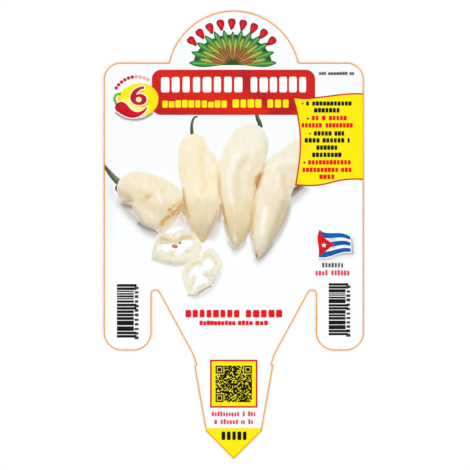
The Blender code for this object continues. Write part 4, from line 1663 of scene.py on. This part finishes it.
def fan(name, loop, layer, pitch, ground, marks, count, centre, radius, start, sweep, side_size):
    """A painted film drawn once round the origin, and copied along an arc."""
    source = painted_film("fan_source", [loop], layer, pitch, ground, marks, make=loose_film)
    source.data.transform(Matrix.Translation((-MIDDLE[0], -MIDDLE[1], -FACE)))
    values = {
        "Object": source,
        "Count": count,
        "Centre": on_face(centre),
        "Radius": radius * MM,
        "Start": math.radians(start),
        "Sweep": math.radians(sweep),
        "Side size": side_size,
    }
    from_tree(new_object(name), fan_tree(), "picture_ink", values)
    bpy.data.objects.remove(source)


class LABEL_OT_emblem(Operator):
    """Prints a plain fan of leaves under an arch of small red pods"""

    bl_idname = "plant_label.emblem"
    bl_label = "Emblem"

    def execute(self, context):
        dome = arc((0, 0), 1.0, 180, 0, 6) * EMBLEM_REACH + EMBLEM_CENTRE
        film("emblem_ground", [dome[::-1]], "behind", "leaf_shade_ink")
        for number, row in enumerate(LEAF_ROWS):
            layer, size, count, start, sweep, edge, rib, green = row

            def leaf_marks(p, size=size, edge=edge, rib=rib):
                p.edge(edge, 0.3, 0.9)
                p.stroke(rib, [(0, 3.2 * size), (0, 10.6 * size)], 0.2, 0.8)

            along = (count, EMBLEM_CENTRE, 0.0, start, sweep, SIDE_LEAF_SIZE)
            leaf = (through(LEAF) * size, layer, LEAF_PITCH, green, leaf_marks)
            fan(f"leaves_{number}", *leaf, *along)

        def pod_marks(p):
            p.edge((70, 8, 20), 0.34, 1.0)
            p.stroke((250, 90, 90), [(-0.3, 1.0), (-0.1, -0.4)], 0.2, 0.6)

        fan("pods", through(POD, 0.2), "banner", POD_PITCH, (222, 12, 30), pod_marks, *PODS)
        return {"FINISHED"}


# ------------------------------------------------------------------ flag


FLAG_TOP = [
    (29.65, 1.8), (30.6, 1.1), (31.8, 0.72), (34.0, 0.6), (36.5, 0.62), (38.6, 0.25), (40.3, -0.6),
]  # fmt: skip
FLAG_BOTTOM = [
    (29.4, -7.7), (31.0, -7.8), (32.8, -7.5), (35.2, -6.75), (37.4, -6.05), (39.0, -5.85),
    (40.45, -5.85),
]  # fmt: skip
FLAG_HOIST = [(29.4, -7.7), (29.45, -5.4), (29.1, -2.6), (28.95, -0.8), (29.2, 0.6), (29.65, 1.8)]
# The triangle's upper edge, from the top of the hoist to the point.
FLAG_SLOPE = [(29.65, 1.8), (30.3, 0.3), (31.5, -1.1), (33.2, -2.3), (34.8, -3.1)]
# Each stripe: name, its upper and lower edge as shares of the height, colour.
STRIPES = (
    ("flag_stripe_1", 0.0, 0.22, (0, 94, 172)),
    ("flag_stripe_2", 0.38, 0.61, (0, 94, 172)),
    ("flag_stripe_3", 0.77, 1.0, (0, 94, 172)),
    ("flag_white_1", 0.22, 0.38, (255, 255, 255)),
    ("flag_white_2", 0.61, 0.77, (255, 255, 255)),
)
FLAG_BORDER = 0.3
STAR_CENTRE, STAR_RADIUS, STAR_WAIST, STAR_TURN = (31.2, -3.55), 0.95, 0.42, -8


def band(upper, lower, steps=26):
    """A loop that follows the flag's wave, between two shares of its height."""
    spots = np.linspace(0, 1, steps)

    def resampled(side):
        line = through(side, 0.2, closed=False)
        run = np.concatenate([[0], np.cumsum(np.linalg.norm(np.diff(line, axis=0), axis=1))])
        return np.column_stack([np.interp(spots * run[-1], run, line[:, i]) for i in range(2)])

    top, bottom = resampled(FLAG_TOP), resampled(FLAG_BOTTOM)
    high, low = top + (bottom - top) * upper, top + (bottom - top) * lower
    return np.concatenate([low, high[::-1]])


def stripe_marks(p):
    p.dab((0, 76, 158), (38.6, -2.4), (1.6, 1.2), 0, 0.6)
    p.dab((10, 108, 186), (35.4, -0.6), (2.4, 1.0), 0, 0.4)


def upper_fold_marks(p):
    p.stroke((206, 210, 214), [(33.4, -1.55), (34.8, -1.55)], 0.7, 0.9)
    p.stroke((226, 222, 216), [(38.6, -2.0), (39.6, -2.0)], 0.5, 0.8)


def lower_fold_marks(p):
    p.stroke((206, 210, 214), [(33.6, -4.3), (35.0, -4.3)], 0.7, 0.9)
    p.stroke((226, 222, 216), [(38.8, -3.7), (39.8, -3.7)], 0.5, 0.8)


def triangle_marks(p):
    p.stroke((196, 22, 20), [(30.2, -6.4), (33.2, -3.6)], (1.6, 0.8), 0.8)
    p.stroke((240, 14, 24), [(29.5, 0.6), (29.9, -4.0)], 0.7, 0.7)


class LABEL_OT_flag(Operator):
    """Prints the small waving flag of the country of origin"""

    bl_idname = "plant_label.flag"
    bl_label = "Flag"

    def execute(self, context):
        film("flag_border", [grown(band(0, 1), FLAG_BORDER)], "behind", "white_ink")
        marks = (stripe_marks, stripe_marks, stripe_marks, upper_fold_marks, lower_fold_marks)
        for (name, upper, lower, colour), stripe in zip(STRIPES, marks):
            loops = [divided(band(upper, lower), 0.5)]
            painted_film(name, loops, "picture", pitch=0.4, ground=colour, marks=stripe)
        slope = through(FLAG_SLOPE, 0.3, closed=False)
        hoist = through(FLAG_HOIST, 0.3, closed=False)
        triangle = np.concatenate([slope[:0:-1], hoist[::-1]])
        triangle = divided(triangle if area(triangle) > 0 else triangle[::-1], 0.4)
        red, marks = (226, 14, 26), triangle_marks
        painted_film("flag_triangle", [triangle], "front_picture", pitch=0.35, ground=red, marks=marks)
        corners = np.arange(10)
        angles = np.radians(90 + 36 * corners + STAR_TURN)
        reach = np.where(corners % 2 == 0, STAR_RADIUS, STAR_RADIUS * STAR_WAIST)
        star = np.column_stack([np.cos(angles), np.sin(angles)]) * reach[:, None] + STAR_CENTRE
        film("flag_star", [star], "banner", "white_ink")
        return {"FINISHED"}


# ------------------------------------------------------------------ codes and yellow point


# Each bar code: name, upper left corner, length down the label, further seed.
BAR_CODES = (
    ("left_bar_code", (-40.4, -17.0), 18.75, 0),
    ("right_bar_code", (32.82, -16.7), 18.2, 5),
)
BAR_LENGTH = 5.85
GUARD = 0.95  # how much longer a bar code's long bars are
DIGITS = 12
DIGIT_SIZE = (1.7, 1.04)  # across and up the label
DIGIT_GAP = 0.1  # from the bars
FIRST_DIGIT, LAST_DIGIT = 1.2, 0.2  # how far their middles lie from the code's two ends, inwards
CODE_PANEL = (-8.2, -59.75, 8.2, -43.15)  # left, bottom, right, top
CODE_PANEL_EDGE = 0.58
CODE_SIDE = 12.5
CODE_CORNER = (-6.25, -57.75)
INK_SPREAD = 1.32  # how much wider than its place the ink of a module spreads


def bar_code(name, corner, length, further_seed):
    """A generic bar code lying on its side, with plain blocks where its digits would stand."""
    settings = bpy.context.scene.plant_label_codes
    values = {
        "Bars": settings.bars,
        "Code length": length * MM,
        "Bar length": BAR_LENGTH * MM,
        "Guard": GUARD * MM,
        "Corner": on_face(corner),
        "Thickness": height("behind"),
        "Seed": settings.seed + further_seed,
    }
    from_tree(new_object(name), bars_tree(), "black_ink", values)
    left = corner[0] + BAR_LENGTH + DIGIT_GAP
    across, up = DIGIT_SIZE
    first, last = corner[1] - FIRST_DIGIT, corner[1] - length + LAST_DIGIT
    middles = np.linspace(first, last, DIGITS)
    rows = [(y - up / 2, y + up / 2, [(left, left + across)]) for y in middles]
    look = {"letter": 1.8, "least_height": 0.7, "seed": further_seed}
    block_words(f"{name}_row", rows, "behind", "digit_grey_ink", **look)


class LABEL_OT_codes(Operator):
    """Prints the two bar codes and the square code, none of which encodes anything"""

    bl_idname = "plant_label.codes"
    bl_label = "Codes"

    def execute(self, context):
        settings = context.scene.plant_label_codes
        for described in BAR_CODES:
            bar_code(*described)
        left, bottom, right, top = CODE_PANEL
        edge = CODE_PANEL_EDGE
        film("code_panel_edge", [box_loop(*CODE_PANEL)], "behind", "card_edge_ink")
        panel = box_loop(left + edge, bottom + edge, right - edge, top - edge)
        film("code_panel", [panel], "picture", "card_yellow_ink")
        values = {
            "Modules": settings.modules,
            "Side": CODE_SIDE * MM,
            "Corner": on_face(CODE_CORNER),
            "Dark share": settings.share,
            "Ink spread": INK_SPREAD,
            "Thickness": height("front_picture"),
            "Seed": settings.seed,
        }
        from_tree(new_object("square_code"), modules_tree(), "black_ink", values)
        return {"FINISHED"}


YELLOW_POINT_TOP = -66.75
POINT_ROW = [(-70.9, -68.0, [(-4.5, 4.7)])]
POINT_WORDS = ("point_row", POINT_ROW, "picture", "black_ink", 1.85, 1.0, 12, 0.85)


class LABEL_OT_tip(Operator):
    """Prints the yellow of the point, with a row of blocks on it"""

    bl_idname = "plant_label.tip"
    bl_label = "Yellow point"

    def execute(self, context):
        point = clipped(grown(OUTLINE, -EDGE_GAP), (0, YELLOW_POINT_TOP), (0, -1))
        film("point_yellow", [point], "behind", "card_yellow_ink")
        block_words(*POINT_WORDS)
        return {"FINISHED"}


# ------------------------------------------------------------------ stage, in metres


FLOOR_HALF, FLOOR_DROP = 1.5, 0.00002
SOFT_BOXES, BOX_SIDE, BOX_REACH, BOX_HEIGHT = 4, 0.7, 1.0, 0.9
SKY_STRENGTH = 0.26
SENSOR = 36.0  # in millimetres, as the lens is
VIEW_SHIFT = (0.00043, -0.00003)  # from the sheet's middle to the middle of the view


class LABEL_OT_stage(Operator):
    """Sets the pale floor, the soft boxes, the sky light and the camera"""

    bl_idname = "plant_label.stage"
    bl_label = "Stage"

    def execute(self, context):
        scene = context.scene
        settings = scene.plant_label_stage
        scene.view_settings.view_transform = "Standard"
        scene.view_settings.look = "None"

        matt = bpy.data.materials.new("floor_paper")
        matt.use_nodes = True
        colour = (*linear(tuple(settings.floor)), 1)
        sockets = {"Base Color": colour, "Roughness": 0.9, "Specular IOR Level": 0.1}
        fill(matt.node_tree.nodes["Principled BSDF"], sockets)
        corners = box_loop(-FLOOR_HALF, -FLOOR_HALF, FLOOR_HALF, FLOOR_HALF)
        floor = new_object("floor", [(x, y, -FLOOR_DROP) for x, y in corners], [[0, 1, 2, 3]], matt)

        scene.world = bpy.data.worlds.new("studio")
        scene.world.use_nodes = True
        sky = scene.world.node_tree.nodes["Background"]
        fill(sky, {"Color": (1.0, 1.0, 1.0, 1), "Strength": SKY_STRENGTH})

        for i in range(SOFT_BOXES):
            turn = math.radians(45 + 360 / SOFT_BOXES * i)
            light = bpy.data.lights.new(f"soft_box_{i + 1}", "AREA")
            light.shape, light.size, light.size_y = "RECTANGLE", BOX_SIDE, BOX_SIDE
            light.energy = settings.light
            lamp = bpy.data.objects.new(light.name, light)
            lamp.location = (BOX_REACH * math.cos(turn), BOX_REACH * math.sin(turn), BOX_HEIGHT)
            lamp.rotation_euler = (-lamp.location).to_track_quat("-Z", "Y").to_euler()
            scene.collection.objects.link(lamp)

        lens = bpy.data.cameras.new("copy_camera")
        lens.lens, lens.sensor_width = settings.lens, SENSOR
        lens.clip_start, lens.clip_end = 0.01, 20.0
        camera = bpy.data.objects.new("copy_camera", lens)
        distance = settings.view_side * settings.lens / SENSOR
        camera.location = (MIDDLE[0] + VIEW_SHIFT[0], MIDDLE[1] + VIEW_SHIFT[1], FACE + distance)
        scene.collection.objects.link(camera)
        scene.camera = camera
        return {"FINISHED"}


# ------------------------------------------------------------------ add-on


class LABEL_PT_panel(Panel):
    bl_idname = "LABEL_PT_panel"
    bl_label = "Plant label"
    bl_space_type = "VIEW_3D"
    bl_region_type = "UI"
    bl_category = "Plant label"

    def draw(self, context):
        for operator in OPERATORS:
            self.layout.operator(operator.bl_idname)
        for group in SETTINGS:
            settings = getattr(context.scene, group)
            box = self.layout.box()
            for name in settings.__annotations__:
                box.prop(settings, name)


SETTINGS = {
    "plant_label_sheet": SheetSettings,
    "plant_label_print": PrintSettings,
    "plant_label_type": TypeSettings,
    "plant_label_codes": CodeSettings,
    "plant_label_stage": StageSettings,
}
OPERATORS = (
    LABEL_OT_sheet,
    LABEL_OT_ground,
    LABEL_OT_chillies,
    LABEL_OT_slices,
    LABEL_OT_banner,
    LABEL_OT_card,
    LABEL_OT_badge,
    LABEL_OT_emblem,
    LABEL_OT_flag,
    LABEL_OT_captions,
    LABEL_OT_codes,
    LABEL_OT_tip,
    LABEL_OT_stage,
)
CLASSES = (*SETTINGS.values(), *OPERATORS, LABEL_PT_panel)


def register():
    for cls in CLASSES:
        bpy.utils.register_class(cls)
    for name, group in SETTINGS.items():
        setattr(bpy.types.Scene, name, PointerProperty(type=group))


def unregister():
    for name in SETTINGS:
        delattr(bpy.types.Scene, name)
    for cls in reversed(CLASSES):
        bpy.utils.unregister_class(cls)


def main():
    register()
    for operator in OPERATORS:
        group, name = operator.bl_idname.split(".")
        getattr(getattr(bpy.ops, group), name)()


if __name__ == "__main__":
    main()
